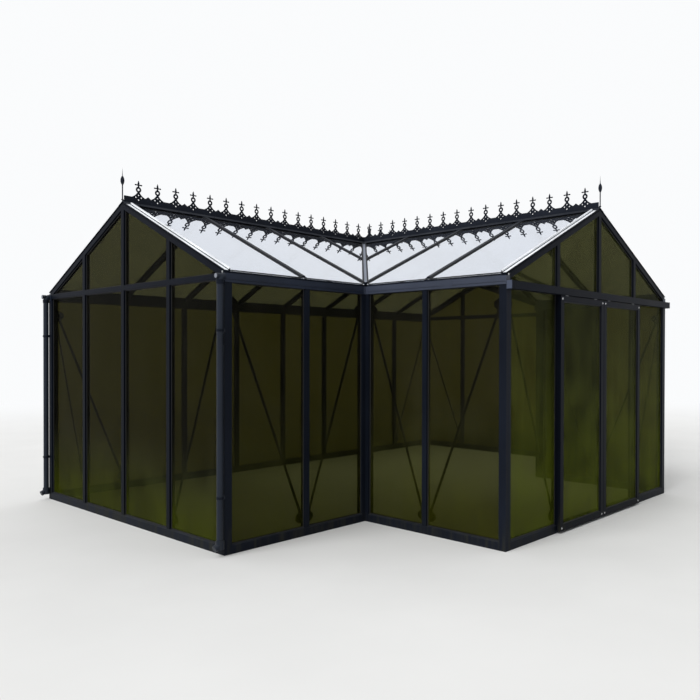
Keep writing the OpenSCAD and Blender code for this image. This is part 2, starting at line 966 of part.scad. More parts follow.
module main_ridge_crest() {
    last = main_bays * panels_per_bay - 1;
    color(trim_black) for (k = [0 : last]) {
        start = k == 0 ? crest_in - edge : crest_gap / 2;
        stop = k == last ? crest_in - edge : crest_gap / 2;
        translate([edge - half_x + k * panel_l, y_ridge, apex + rib_h])
            through(-crest_t / 2, crest_t / 2) crest_panel(start, panel_l - stop);
    }
}

module porch_ridge_crest() {
    last = (porch_bays + gable_bays / 2) * panels_per_bay - 1;
    color(trim_black) for (k = [0 : last]) {
        start = k == 0 ? crest_in - edge : crest_gap / 2;
        stop = k == last ? crest_gap + crest_t / 2 : crest_gap / 2;
        translate([0, y_porch + edge + k * panel_l, apex + rib_h]) rotate(90)
            through(-crest_t / 2, crest_t / 2) crest_panel(start, panel_l - stop);
    }
}

// A turned rod with a long bulb and a pointed tip
module finial() {
    lens_r = (pow(finial_bulb_r, 2) + pow(finial_bulb_h / 2, 2)) / (2 * finial_bulb_r);
    rotate_extrude() {
        square([finial_foot_r, finial_foot_h]);
        square([finial_rod_r, finial_bulb_z]);
        intersection() {
            translate([finial_bulb_r - lens_r, finial_bulb_z]) circle(lens_r, $fn = 96);
            square([finial_bulb_r, finial_h]);
        }
        polygon([[0, finial_bulb_z], [finial_rod_r, finial_bulb_z], [0, finial_h]]);
    }
}

module gable_finials() {
    seat_z = apex + rib_h;
    color(trim_black) {
        translate([0, y_porch + finial_in, seat_z]) finial();
        both_sides() translate([finial_in - half_x, y_ridge, seat_z]) finial();
    }
}

// Rainwater pipes

// A pipe from the end of a gutter, at a corner whose gable face is at x = 0
module downpipe() {
    axis_x = -pipe_gap - pipe_d / 2;
    bend_z = post_h + elbow_rise;
    translate([0, pipe_in, bend_z]) rotate([90, 0, 0]) mirror([1, 0, 0])
        rotate_extrude(angle = 90) translate([-axis_x, 0]) circle(d = pipe_d);
    translate([axis_x, pipe_in, 0]) {
        translate([0, 0, bend_z - axis_x]) rotate([0, -90, 0])
            cylinder(h = pipe_d / 2 + elbow_cap_l, d = elbow_cap_d);
        translate([0, 0, shoe_z]) cylinder(h = bend_z - shoe_z, d = pipe_d);
        translate([0, 0, shoe_z - shoe_socket / 2])
            cylinder(h = shoe_socket, d = pipe_d + 2 * shoe_wall);
        translate([0, 0, shoe_z]) rotate([0, -90 - shoe_dip, 0])
            cylinder(h = shoe_l, d = pipe_d);
    }
    for (z = [clip_low_z, clip_high_z]) {
        translate([axis_x, pipe_in - clip_w / 2, z]) cube([-axis_x, clip_w, clip_h]);
    }
}

module downpipes() {
    color(frame_black) both_sides() {
        translate([-half_x, y_front, 0]) downpipe();
        translate([-half_x, y_back, 0]) mirror([0, 1, 0]) downpipe();
    }
}

// Bracing

module wall_braces() {
    color(frame_black) {
        on_back_wall() brace_pair(back_spans());
        on_porch_gable() brace_pair(gable_spans());
        both_sides() {
            on_left_gable() brace_pair(gable_spans());
            on_left_front() brace_pair(front_spans());
            on_left_porch() brace_pair(porch_spans());
        }
    }
}

// Sliding doors, hung outside the porch gable

module track_profile() {
    difference() {
        translate([-track_d, track_z0]) square([track_d, track_h]);
        translate([track_t - track_d, track_z0 + track_t])
            square([track_d - 2 * track_t, track_h - 2 * track_t]);
        translate([-leaf_mid - track_slot / 2, track_z0 - over])
            square([track_slot, track_t + 2 * over]);
    }
}

module door_rail() {
    color(frame_black) on_porch_gable() {
        along(0, span) track_profile();
        for (u = [0, span - track_t]) {
            along(u, u + track_t) translate([-track_d, track_z0]) square([track_d, track_h]);
        }
    }
}

module leaf_stile() {
    difference() {
        translate([0, -leaf_back - leaf_t]) square([stile_w, leaf_t]);
        translate([stile_w - bite, -leaf_mid - slot_w / 2]) square([bite + over, slot_w]);
    }
}

module leaf_rail(height, groove_z) {
    difference() {
        translate([-leaf_back - leaf_t, 0]) square([leaf_t, height]);
        translate([-leaf_mid - slot_w / 2, groove_z]) square([slot_w, bite + over]);
    }
}

module door_stiles() {
    translate([leaf_u0, 0, leaf_z0]) linear_extrude(leaf_z1 - leaf_z0) leaf_stile();
    translate([leaf_u1, 0, leaf_z0]) mirror([1, 0, 0])
        linear_extrude(leaf_z1 - leaf_z0) leaf_stile();
}

module door_rails() {
    translate([0, 0, leaf_z0]) along(leaf_u0 + stile_w, leaf_u1 - stile_w)
        leaf_rail(leaf_foot_h, leaf_foot_h - bite);
    translate([0, 0, leaf_z1 - leaf_top_h]) along(leaf_u0 + stile_w, leaf_u1 - stile_w)
        leaf_rail(leaf_top_h, -over);
}

module door_glass() {
    inset = bite - seat;
    low = leaf_z0 + leaf_foot_h - inset;
    high = leaf_z1 - leaf_top_h + inset;
    through(-leaf_mid - glass_t / 2, -leaf_mid + glass_t / 2)
        translate([leaf_u0 + stile_w - inset, low])
            square([leaf_w - 2 * (stile_w - inset), high - low]);
}

// A plate up through the slot of the rail, with a roller on each side of it
module door_hanger() {
    cheek = hanger_t / 2 + roller_gap;
    translate([-hanger_w / 2, -leaf_mid - hanger_t / 2, leaf_z1])
        cube([hanger_w, hanger_t, axle_z + roller_d / 2 - leaf_z1]);
    translate([0, -leaf_mid, axle_z]) rotate([90, 0, 0]) {
        cylinder(h = 2 * (cheek + roller_w), d = axle_d, center = true);
        for (s = [-1, 1]) translate([0, 0, s * (cheek + roller_w / 2)])
            cylinder(h = roller_w, d = roller_d, center = true);
    }
}

module door_hangers() {
    for (u = [leaf_u0 + hanger_in, leaf_u1 - hanger_in]) translate([u, 0, 0]) door_hanger();
}

module left_door_stiles() { color(frame_black) on_porch_gable() door_stiles(); }
module left_door_rails() { color(frame_black) on_porch_gable() door_rails(); }
module left_door_glass() { color(wall_tint) on_porch_gable() door_glass(); }
module left_door_hangers() { color(steel) on_porch_gable() door_hangers(); }
module right_door_stiles() { mirror([1, 0, 0]) left_door_stiles(); }
module right_door_rails() { mirror([1, 0, 0]) left_door_rails(); }
module right_door_glass() { mirror([1, 0, 0]) left_door_glass(); }
module right_door_hangers() { mirror([1, 0, 0]) left_door_hangers(); }

base_sills();
corner_posts();
back_wall_mullions();
side_wall_mullions();
left_gable_mullions();
right_gable_mullions();
porch_gable_mullions();
gable_transoms();
gable_rafters();
back_gutter();
front_gutters();
porch_gutters();
main_ridge_beam();
porch_ridge_beam();
back_roof_bars();
front_roof_bars();
porch_roof_bars();
valley_bars();
back_wall_glass();
front_wall_glass();
porch_side_glass();
left_gable_glass();
right_gable_glass();
porch_gable_glass();
back_roof_glass();
front_roof_glass();
porch_roof_glass();
main_ridge_cap();
porch_ridge_cap();
main_ridge_crest();
porch_ridge_crest();
gable_finials();
downpipes();
wall_braces();
door_rail();
left_door_stiles();
left_door_rails();
left_door_glass();
left_door_hangers();
right_door_stiles();
right_door_rails();
right_door_glass();
right_door_hangers();
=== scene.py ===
"""Dresses the glass greenhouse: finishes for its solids, its small fittings and a plain studio.

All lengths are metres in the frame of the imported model: +Z is up, the sliding doors face -Y
and the ground is z = 0.
"""

import json
import logging
import math
from dataclasses import dataclass, field
from enum import Enum
from itertools import product
from typing import Any, Iterable, Iterator, Sequence, Union

import bmesh
import bpy
import numpy as np
from mathutils import Matrix, Vector

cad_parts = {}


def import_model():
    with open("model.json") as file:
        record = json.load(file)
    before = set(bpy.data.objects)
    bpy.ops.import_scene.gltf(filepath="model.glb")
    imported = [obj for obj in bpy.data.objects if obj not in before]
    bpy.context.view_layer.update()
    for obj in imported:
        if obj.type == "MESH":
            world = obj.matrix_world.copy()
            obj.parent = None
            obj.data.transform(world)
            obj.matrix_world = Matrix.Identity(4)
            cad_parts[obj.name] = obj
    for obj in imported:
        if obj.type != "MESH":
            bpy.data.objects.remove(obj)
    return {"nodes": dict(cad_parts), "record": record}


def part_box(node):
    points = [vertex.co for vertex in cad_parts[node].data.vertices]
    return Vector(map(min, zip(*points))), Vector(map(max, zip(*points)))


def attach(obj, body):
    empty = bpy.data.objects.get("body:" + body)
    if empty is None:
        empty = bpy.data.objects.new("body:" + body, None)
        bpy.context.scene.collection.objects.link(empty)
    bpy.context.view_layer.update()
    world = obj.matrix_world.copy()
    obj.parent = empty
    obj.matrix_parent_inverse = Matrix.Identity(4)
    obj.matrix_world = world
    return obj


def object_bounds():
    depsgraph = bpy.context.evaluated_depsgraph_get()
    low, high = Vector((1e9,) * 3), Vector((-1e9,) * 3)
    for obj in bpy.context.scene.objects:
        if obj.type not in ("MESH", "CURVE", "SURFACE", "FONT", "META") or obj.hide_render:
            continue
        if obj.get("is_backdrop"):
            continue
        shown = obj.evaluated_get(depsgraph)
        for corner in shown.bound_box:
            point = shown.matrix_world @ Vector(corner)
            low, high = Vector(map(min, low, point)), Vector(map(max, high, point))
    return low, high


LOG = logging.getLogger("greenhouse")
Colour = tuple[float, float, float]
Point2 = tuple[float, float]
Point3 = tuple[float, float, float]
Section = tuple[Point2, ...]
Path = tuple[Point3, ...]
Nodes = dict[str, bpy.types.Object]
X_AXIS, Y_AXIS, UP = Vector((1.0, 0.0, 0.0)), Vector((0.0, 1.0, 0.0)), Vector((0.0, 0.0, 1.0))
SIDES = (-1.0, 1.0)
# Radius at which a turned piece ends on its axis
POLE_R = 0.0004


class Body(Enum):
    """The bodies that a piece can ride on."""

    HOUSE = "house"
    LEFT_DOOR = "left_door"
    RIGHT_DOOR = "right_door"


class Slot(Enum):
    """The finishes that the record names."""

    FRAME = "frame_coat"
    TRIM = "trim_coat"
    WALL_GLASS = "wall_glass"
    ROOF_GLASS = "roof_glass"
    STEEL = "roller_steel"


# Shader graphs


class Wire:
    """An output socket of a shader graph that takes part in Python arithmetic."""

    def __init__(self, graph: "Graph", socket: bpy.types.NodeSocket) -> None:
        """Holds a socket and the graph that its expressions add nodes to."""
        self.graph = graph
        self.socket = socket

    def out(self, name: str) -> "Wire":
        """Another output of the same node."""
        return Wire(self.graph, self.socket.node.outputs[name])

    def _math(self, operation: str, first: "Value", second: "Value") -> "Wire":
        """Adds one Math node."""
        return self.graph.node("Math", {0: first, 1: second}, operation=operation)

    def __add__(self, other: "Value") -> "Wire":
        """Sum."""
        return self._math("ADD", self, other)

    __radd__ = __add__

    def __rsub__(self, other: "Value") -> "Wire":
        """Difference from a number."""
        return self._math("SUBTRACT", other, self)

    def __mul__(self, other: "Value") -> "Wire":
        """Product."""
        return self._math("MULTIPLY", self, other)

    def __or__(self, other: "Value") -> "Wire":
        """The larger of two masks."""
        return self._math("MAXIMUM", self, other)

    def ramp(self, low: float, high: float, start: float = 0.0, end: float = 1.0) -> "Wire":
        """Eases from start to end as the value goes from low to high."""
        limits = {0: self, 1: low, 2: high, 3: start, 4: end}
        return self.graph.node("MapRange", limits, interpolation_type="SMOOTHSTEP")


Value = Union[float, Wire]


class Graph:
    """One node tree, with a method that adds any node to it."""

    def __init__(self, tree: bpy.types.NodeTree) -> None:
        """Starts an empty tree."""
        self.tree = tree
        tree.nodes.clear()

    def node(
        self,
        kind: str,
        inputs: dict[int | str, Any] | None = None,
        output: int | str = 0,
        **settings: str,
    ) -> Wire:
        """Adds a node.

        Args:
            kind: Blender's name of the node's type, after the word ShaderNode.
            inputs: Values or wires of its sockets, by name or index.
            output: The output that the result stands for.
            **settings: Properties of the node, set before its sockets.

        Returns:
            A wire from that output.
        """
        made = self.tree.nodes.new("ShaderNode" + kind)
        for name, value in settings.items():
            setattr(made, name, value)
        for key, value in (inputs or {}).items():
            socket = made.inputs[key]
            if isinstance(value, Wire):
                self.tree.links.new(value.socket, socket)
            elif isinstance(value, tuple) and len(value) == 3 and socket.type == "RGBA":
                socket.default_value = (*value, 1.0)
            else:
                socket.default_value = value
        return Wire(self, made.outputs[output] if made.outputs else None)

    def tint(self, factor: Value, first: Any, second: Any) -> Wire:
        """Mixes two colours, or wires of colours, by the share of the second."""
        return self.node("Mix", {0: factor, 6: first, 7: second}, 2, data_type="RGBA")

    def noise(self, scale: float, detail: float = 2.0, draw: Point3 = (1, 1, 1)) -> Wire:
        """Noise about 0.5, by grains in each metre, octaves and a factor on each axis."""
        drawn = self.node("VectorMath", {0: self.place(), 1: draw}, operation="MULTIPLY")
        return self.node("TexNoise", {"Vector": drawn, "Scale": scale, "Detail": detail})

    def bump(self, height: Wire, depth: float, strength: float) -> Wire:
        """A normal bent by a height, which is depth metres at 1, with a share of the effect."""
        return self.node("Bump", {"Height": height, "Distance": depth, "Strength": strength})

    def place(self) -> Wire:
        """Coordinates of the surface in metres."""
        return self.node("TexCoord", output="Object")

    def height(self) -> Wire:
        """Height of the surface above the ground."""
        return self.node("SeparateXYZ", {0: self.place()}, "Z")

    def facing_up(self) -> Wire:
        """How far the surface faces up: 1 on a level top, -1 underneath."""
        normal = self.node("NewGeometry", output="Normal")
        return self.node("SeparateXYZ", {0: normal}, "Z")

    def principled(self, **inputs: Any) -> Wire:
        """A Principled shader, with underscores for the spaces in its sockets' names."""
        named = {key.replace("_", " "): value for key, value in inputs.items()}
        return self.node("BsdfPrincipled", named)

    def mix(self, factor: Value, first: Wire, second: Wire) -> Wire:
        """Mixes two shaders."""
        return self.node("MixShader", {0: factor, 1: first, 2: second})

    def show(self, surface: Wire, output: str = "OutputMaterial") -> None:
        """Makes a shader what the tree puts out."""
        self.node(output, {"Surface": surface})


# Finishes


def scaled(colour: Colour, by: float) -> Colour:
    """A colour made paler or darker by a factor."""
    return tuple(by * c for c in colour)


@dataclass(frozen=True)
class Finish:
    """A material with a name of its own."""

    name: str

    def material(self) -> bpy.types.Material:
        """Makes the material, or finds the one that is made already.

        Returns:
            The material.
        """
        found = bpy.data.materials.get(self.name)
        if found:
            return found
        made = bpy.data.materials.new(self.name)
        made.use_nodes = True
        graph = Graph(made.node_tree)
        graph.show(self.surface(graph))
        return made

    def surface(self, graph: Graph) -> Wire:
        """The shader of this finish, which each kind of finish makes in its own way."""
        raise NotImplementedError


@dataclass(frozen=True)
class PowderCoat(Finish):
    """Dark powder coat on metal, with a fine peel, settled dust and splashes near the ground."""

    colour: Colour = (0.0062, 0.0081, 0.0132)
    dust: Colour = (0.075, 0.078, 0.080)
    earth: Colour = (0.045, 0.043, 0.026)
    rough: float = 0.40
    rough_swing: float = 0.05
    shine: float = 0.04
    splash_h: float = 0.30
    worn: float = 1.35
    dust_share: float = 0.30
    run_share: float = 0.02
    earth_share: float = 0.35
    dust_rough: float = 0.14
    earth_rough: float = 0.2
    cloud_per_m: float = 2.3
    runs_per_m: float = 26.0
    runs_draw: Point3 = (1, 1, 0.08)
    peel_per_m: float = 700.0
    peel_depth: float = 0.0002

    def surface(self, graph: Graph) -> Wire:
        """Coat with clouds of wear, dust on top faces, rain runs and splashes.

        Args:
            graph: The material's graph.

        Returns:
            The shader.
        """
        cloud = graph.noise(self.cloud_per_m, 5.0)
        grain = graph.noise(self.peel_per_m, 2.0)
        runs = graph.noise(self.runs_per_m, 3.0, self.runs_draw)
        settled = graph.facing_up().ramp(0.35, 0.95) * cloud.ramp(0.25, 0.75, 0.25, 1.0)
        low_down = graph.height().ramp(0.0, self.splash_h, 1.0, 0.0)
        splash = low_down * runs.ramp(0.42, 0.70)
        shade = graph.tint(cloud.ramp(0.3, 0.7), self.colour, scaled(self.colour, self.worn))
        dusty = settled * self.dust_share + runs.ramp(0.60, 0.80) * self.run_share
        dusted = graph.tint(dusty, shade, self.dust)
        rough = cloud.ramp(0.2, 0.8, self.rough - self.rough_swing, self.rough + self.rough_swing)
        return graph.principled(
            Base_Color=graph.tint(splash * self.earth_share, dusted, self.earth),
            Roughness=rough + settled * self.dust_rough + splash * self.earth_rough,
            Specular_IOR_Level=self.shine,
            Normal=graph.bump(grain, self.peel_depth, 0.25),
        )


@dataclass(frozen=True)
class TintedGlass(Finish):
    """A flat pane of tinted glass, slightly wavy, under a thin film of dust and dried rain.

    With a colour for its under side, which paints shade on the pane seen from below, the pane
    mirrors only on the side that faces up.
    """

    tint: Colour = (0.130, 0.124, 0.046)
    film: Colour = (0.095, 0.102, 0.008)
    film_high: Colour = (0.110, 0.105, 0.080)
    ior: float = 1.04
    mirror: float = 0.0
    under: Colour | None = None
    film_most: float = 0.22
    film_least: float = 0.08
    film_from: float = 0.1
    film_to: float = 1.5
    even_share: float = 0.3
    streak_share: float = 0.3
    mist_share: float = 0.4
    streaks_per_m: float = 22.0
    streaks_draw: Point3 = (1, 1, 0.04)
    mist_per_m: float = 3.1
    swell_per_m: float = 1.7
    swell_depth: float = 0.002
    wave: float = 0.02

    def surface(self, graph: Graph) -> Wire:
        """Glass, mixed with a dull film that is thickest near the ground.

        Args:
            graph: The material's graph.

        Returns:
            The shader.
        """
        swell = graph.noise(self.swell_per_m, 1.0)
        streaks = graph.noise(self.streaks_per_m, 4.0, self.streaks_draw).ramp(0.35, 0.75)
        mist = graph.noise(self.mist_per_m, 4.0).ramp(0.30, 0.72)
        height = graph.height().ramp(self.film_from, self.film_to)
        spread = streaks * self.streak_share + mist * self.mist_share + self.even_share
        film = spread * (self.film_most - height * (self.film_most - self.film_least))
        tint, mirror = self.tint, self.mirror
        # The under side's darker colour is painted shade on the roof seen from below.
        if self.under:
            above = graph.facing_up().ramp(-0.02, 0.02)
            tint, mirror = graph.tint(above, self.under, self.tint), above * self.mirror
        glass = graph.principled(
            Base_Color=tint,
            Metallic=mirror,
            Roughness=0.0,
            IOR=self.ior,
            Transmission_Weight=1.0,
            Normal=graph.bump(swell, self.swell_depth, self.wave),
        )
        shade = graph.tint(height, self.film, self.film_high)
        dirt = graph.principled(Base_Color=shade, Roughness=0.9, Specular_IOR_Level=0.1)
        open_to_lamps = graph.node("BsdfTransparent", {"Color": self.tint})
        lamp_ray = graph.node("LightPath", output="Is Shadow Ray")
        return graph.mix(lamp_ray, graph.mix(film, glass, dirt), open_to_lamps)


@dataclass(frozen=True)
class PlatedSteel(Finish):
    """Zinc plated steel with a faint spangle."""

    colour: Colour = (0.56, 0.57, 0.59)
    rough: float = 0.34
    dull: float = 0.72
    cloud_per_m: float = 60.0
    spangle_per_m: float = 260.0
    spangle_depth: float = 0.0001

    def surface(self, graph: Graph) -> Wire:
        """Bare metal, clouded where the plating is dull.

        Args:
            graph: The material's graph.

        Returns:
            The shader.
        """
        cells = {"Vector": graph.place(), "Scale": self.spangle_per_m}
        spangle = graph.node("TexVoronoi", cells, "Distance")
        cloud = graph.noise(self.cloud_per_m, 4.0)
        dull = scaled(self.colour, self.dull)
        return graph.principled(
            Base_Color=graph.tint(cloud.ramp(0.35, 0.7), self.colour, dull),
            Metallic=1.0,
            Roughness=cloud.ramp(0.2, 0.8, self.rough - 0.08, self.rough + 0.14),
            Normal=graph.bump(spangle, self.spangle_depth, 0.2),
        )


@dataclass(frozen=True)
class Rubber(Finish):
    """Sealing rubber or plastic, dull and a little chalky."""

    colour: Colour = (0.010, 0.010, 0.011)
    rough: float = 0.72
    chalk: Colour = (0.05, 0.05, 0.046)
    chalk_share: float = 0.4
    chalk_rough: float = 0.12
    chalk_per_m: float = 40.0
    grain_per_m: float = 900.0
    grain_depth: float = 0.0001

    def surface(self, graph: Graph) -> Wire:
        """Rubber with patches of chalk.

        Args:
            graph: The material's graph.

        Returns:
            The shader.
        """
        chalk = graph.noise(self.chalk_per_m, 4.0).ramp(0.5, 0.8)
        return graph.principled(
            Base_Color=graph.tint(chalk * self.chalk_share, self.colour, self.chalk),
            Roughness=self.rough + chalk * self.chalk_rough,
            Specular_IOR_Level=0.3,
            Normal=graph.bump(graph.noise(self.grain_per_m), self.grain_depth, 0.3),
        )


@dataclass(frozen=True)
class PaleFloor(Finish):
    """A pale studio floor that runs out into the background."""

    colour: Colour = (0.80, 0.80, 0.79)
    far: Colour = (0.96, 0.97, 0.98)
    mottle: float = 0.96
    mottle_per_m: float = 1.1
    fade_from: float = 7.0
    fade_to: float = 17.0

    def surface(self, graph: Graph) -> Wire:
        """A faintly mottled floor, mixed with a glow far away.

        Args:
            graph: The material's graph.

        Returns:
            The shader.
        """
        away = graph.node("VectorMath", {0: graph.place()}, "Value", operation="LENGTH")
        mottle = graph.noise(self.mottle_per_m, 4.0).ramp(0.2, 0.8)
        floor = graph.principled(
            Base_Color=graph.tint(mottle, self.colour, scaled(self.colour, self.mottle)),
            Roughness=0.9,
            Specular_IOR_Level=0.1,
        )
        glow = graph.node("Emission", {"Color": self.far, "Strength": 1.0})
        return graph.mix(away.ramp(self.fade_from, self.fade_to), floor, glow)


FRAME_COAT = PowderCoat("frame_paint")
TRIM_COAT = PowderCoat("trim_paint", (0.0115, 0.0138, 0.0200), rough=0.46)
# A lighter, bluer copy of the frame paint on the house gutters: painted sky sheen.
GUTTER_SHEEN_COAT = PowderCoat("gutter_painted_sheen", (0.0140, 0.0185, 0.0310), shine=0.12)
# A lighter, bluer copy of the frame paint on the porch gutters: painted sky sheen.
PORCH_GUTTER_SHEEN_COAT = PowderCoat("porch_gutter_painted_sheen", (0.0360, 0.0430, 0.0640), shine=0.20)
PIPE_COAT = PowderCoat("pipe_paint", (0.0120, 0.0155, 0.0230), rough=0.30, shine=0.12)
RAIL_COAT = PowderCoat("rail_paint", (0.0038, 0.0050, 0.0086), shine=0.03)
# Pale blue-grey of the valley flashing: painted sky reflection, not the metal's own colour.
VALLEY_SKY_SHEEN_COAT = PowderCoat("valley_painted_sheen", (0.150, 0.170, 0.215), shine=0.20)
# Pale paint for strips that stand in for the sky's reflection on the rafters' tops and upstands:
# painted reflection.
SKY_REFLECTION_STRIP = PowderCoat("painted_sky_reflection_strip", (0.68, 0.70, 0.73), dust=(0.70, 0.71, 0.72), shine=0.30)
WALL_GLASS = TintedGlass("wall_panes")
GABLE_GLASS = TintedGlass(
    "gable_panes", film=(0.100, 0.125, 0.008), film_most=0.28, film_least=0.04, film_to=0.95
)
PORCH_GLASS = TintedGlass(
    "porch_panes",
    film=(0.170, 0.215, 0.012),
    film_high=(0.150, 0.165, 0.050),
    film_most=0.34,
    film_least=0.18,
    film_to=2.0,
)
ROOF_GLASS = TintedGlass(
    "roof_panes",
    tint=(0.855, 0.905, 1.0),
    film=(0.60, 0.62, 0.64),
    film_high=(0.60, 0.62, 0.64),
    ior=1.7,
    mirror=0.58,
    # Darker grey under side: painted shade seen from below.
    under=(0.30, 0.31, 0.33),
    film_most=0.08,
    film_least=0.024,
    film_from=2.1,
    film_to=2.5,
    wave=0.012,
)
ROLLER_STEEL = PlatedSteel("zinc_steel")
BRIGHT_STEEL = PlatedSteel("bright_steel", (0.68, 0.69, 0.70), 0.26)
SEAL_RUBBER = Rubber("seal_rubber")
# Grey-blue plastic that stands in for sky light on the rail's left end: painted light.
SKYLIT_GREY_CAP = Rubber("grey_painted_skylight_cap", (0.050, 0.062, 0.098), 0.5)
PALE_CAP = Rubber("pale_cap", (0.20, 0.21, 0.245), 0.5)

SLOT_FINISH: dict[Slot, Finish] = {
    Slot.FRAME: FRAME_COAT,
    Slot.TRIM: TRIM_COAT,
    Slot.WALL_GLASS: WALL_GLASS,
    Slot.ROOF_GLASS: ROOF_GLASS,
    Slot.STEEL: ROLLER_STEEL,
}
FINISH_NODES: dict[Finish, tuple[str, ...]] = {
    GUTTER_SHEEN_COAT: ("back_gutter", "front_gutters"),
    PORCH_GUTTER_SHEEN_COAT: ("porch_gutters",),
    PIPE_COAT: ("downpipes",),
    RAIL_COAT: (
        "door_rail", "gable_rafters", "gable_transoms",
        "left_gable_mullions", "right_gable_mullions", "porch_gable_mullions",
        "left_door_stiles", "left_door_rails", "right_door_stiles", "right_door_rails",
    ),
    GABLE_GLASS: ("left_gable_glass", "right_gable_glass"),
    PORCH_GLASS: ("porch_gable_glass", "left_door_glass", "right_door_glass"),
}
NODE_FINISH = {node: finish for finish, nodes in FINISH_NODES.items() for node in nodes}


# Solids of the frame


@dataclass(frozen=True)
class Solid:
    """One separate solid of a CAD node, as its corner points."""

    points: tuple[Vector, ...]

    @property
    def low(self) -> Vector:
        """Lowest corner of its box."""
        return Vector([min(p[i] for p in self.points) for i in range(3)])

    @property
    def high(self) -> Vector:
        """Highest corner of its box."""
        return Vector([max(p[i] for p in self.points) for i in range(3)])

    @property
    def middle(self) -> Vector:
        """Middle of its box."""
        return (self.low + self.high) / 2


def solids_of(node: bpy.types.Object, merge: float = 1e-5) -> list[Solid]:
    """Parts a CAD node's mesh into its separate solids.

    Args:
        node: The node's object.
        merge: Points closer than this are one corner.

    Returns:
        The solids, sorted along X, then Y, then Z.
    """
    mesh = bmesh.new()
    mesh.from_mesh(node.data)
    bmesh.ops.remove_doubles(mesh, verts=mesh.verts, dist=merge)
    waiting = dict.fromkeys(mesh.verts)
    found: list[Solid] = []
    while waiting:
        queue = [waiting.popitem()[0]]
        group = []
        while queue:
            vert = queue.pop()
            group.append(vert.co.copy())
            for edge in vert.link_edges:
                other = edge.other_vert(vert)
                if other in waiting:
                    del waiting[other]
                    queue.append(other)
        found.append(Solid(tuple(group)))
    mesh.free()
    return sorted(found, key=lambda solid: [round(v, 3) for v in solid.middle])


def faces_of_pane(pane: Solid) -> Iterator[tuple[list[Vector], Vector]]:
    """Finds the two large faces of a flat pane.

    Args:
        pane: A thin flat solid with a convex outline.

    Yields:
        The outline of a face, in order, and the direction that the face looks in.
    """
    points = pane.points
    spread = np.array(points) - np.mean(np.array(points), axis=0)
    normal = Vector(np.linalg.svd(spread)[2][2])
    heights = [p.dot(normal) for p in points]
    level = (min(heights) + max(heights)) / 2
    for sign in (1.0, -1.0):
        flat = [p for p, h in zip(points, heights) if (h - level) * sign > 0]
        yield hull_of(flat, normal * sign), normal * sign


def hull_of(points: Sequence[Vector], normal: Vector, bend: float = 0.01) -> list[Vector]:
    """Orders the corners of a flat convex outline anticlockwise about its normal.

    Args:
        points: Points of the outline.
        normal: The direction that it is seen from.
        bend: Least sine of the angle at a corner.

    Returns:
        Its corners in order, without those in line with their neighbours.
    """
    across = normal.orthogonal().normalized()
    along = normal.cross(across)
    middle = sum(points, Vector()) / len(points)
    arms = [(p - middle, p) for p in points]
    arms.sort(key=lambda arm: math.atan2(arm[0].dot(along), arm[0].dot(across)))
    turned = [p for _, p in arms]
    corners = []
    for i, point in enumerate(turned):
        before, after = turned[i - 1], turned[(i + 1) % len(turned)]
        if (point - before).normalized().cross((after - point).normalized()).length > bend:
            corners.append(point)
    return corners


# Meshes


def inward_steps(outline: Sequence[Vector], normal: Vector) -> list[Vector]:
    """Finds where the corners of a flat outline go when its edges move one unit inward.

    Args:
        outline: Corners, anticlockwise about the normal.
        normal: The direction that the outline is seen from.

    Returns:
        The step that each corner takes.
    """
    steps = []
    for i, corner in enumerate(outline):
        into = normal.cross((corner - outline[i - 1]).normalized())
        away = normal.cross((outline[(i + 1) % len(outline)] - corner).normalized())
        steps.append((into + away) / (1 + into.dot(away)))
    return steps


def axes_at(place: Sequence[float], x: Vector, y: Vector, z: Vector) -> Matrix:
    """The matrix of a place and the directions of its three axes."""
    return Matrix.Translation(place) @ Matrix((x, y, z)).transposed().to_4x4()


def seat_at(place: Vector, out: Vector, up: Vector = UP) -> Matrix:
    """A place on a surface.

    Args:
        place: The point.
        out: Direction away from the surface, which becomes Z.
        up: Direction that becomes Y, as nearly as it can.

    Returns:
        The matrix of that place.
    """
    z = out.normalized()
    x = up.cross(z).normalized()
    return axes_at(place, x, z.cross(x), z)


def placed(name: str, data: bpy.types.ID) -> bpy.types.Object:
    """Makes an object and links it to the scene.

    Args:
        name: The object's name.
        data: A mesh, a lamp or a camera.

    Returns:
        The new object.
    """
    made = bpy.data.objects.new(name, data)
    bpy.context.scene.collection.objects.link(made)
    return made


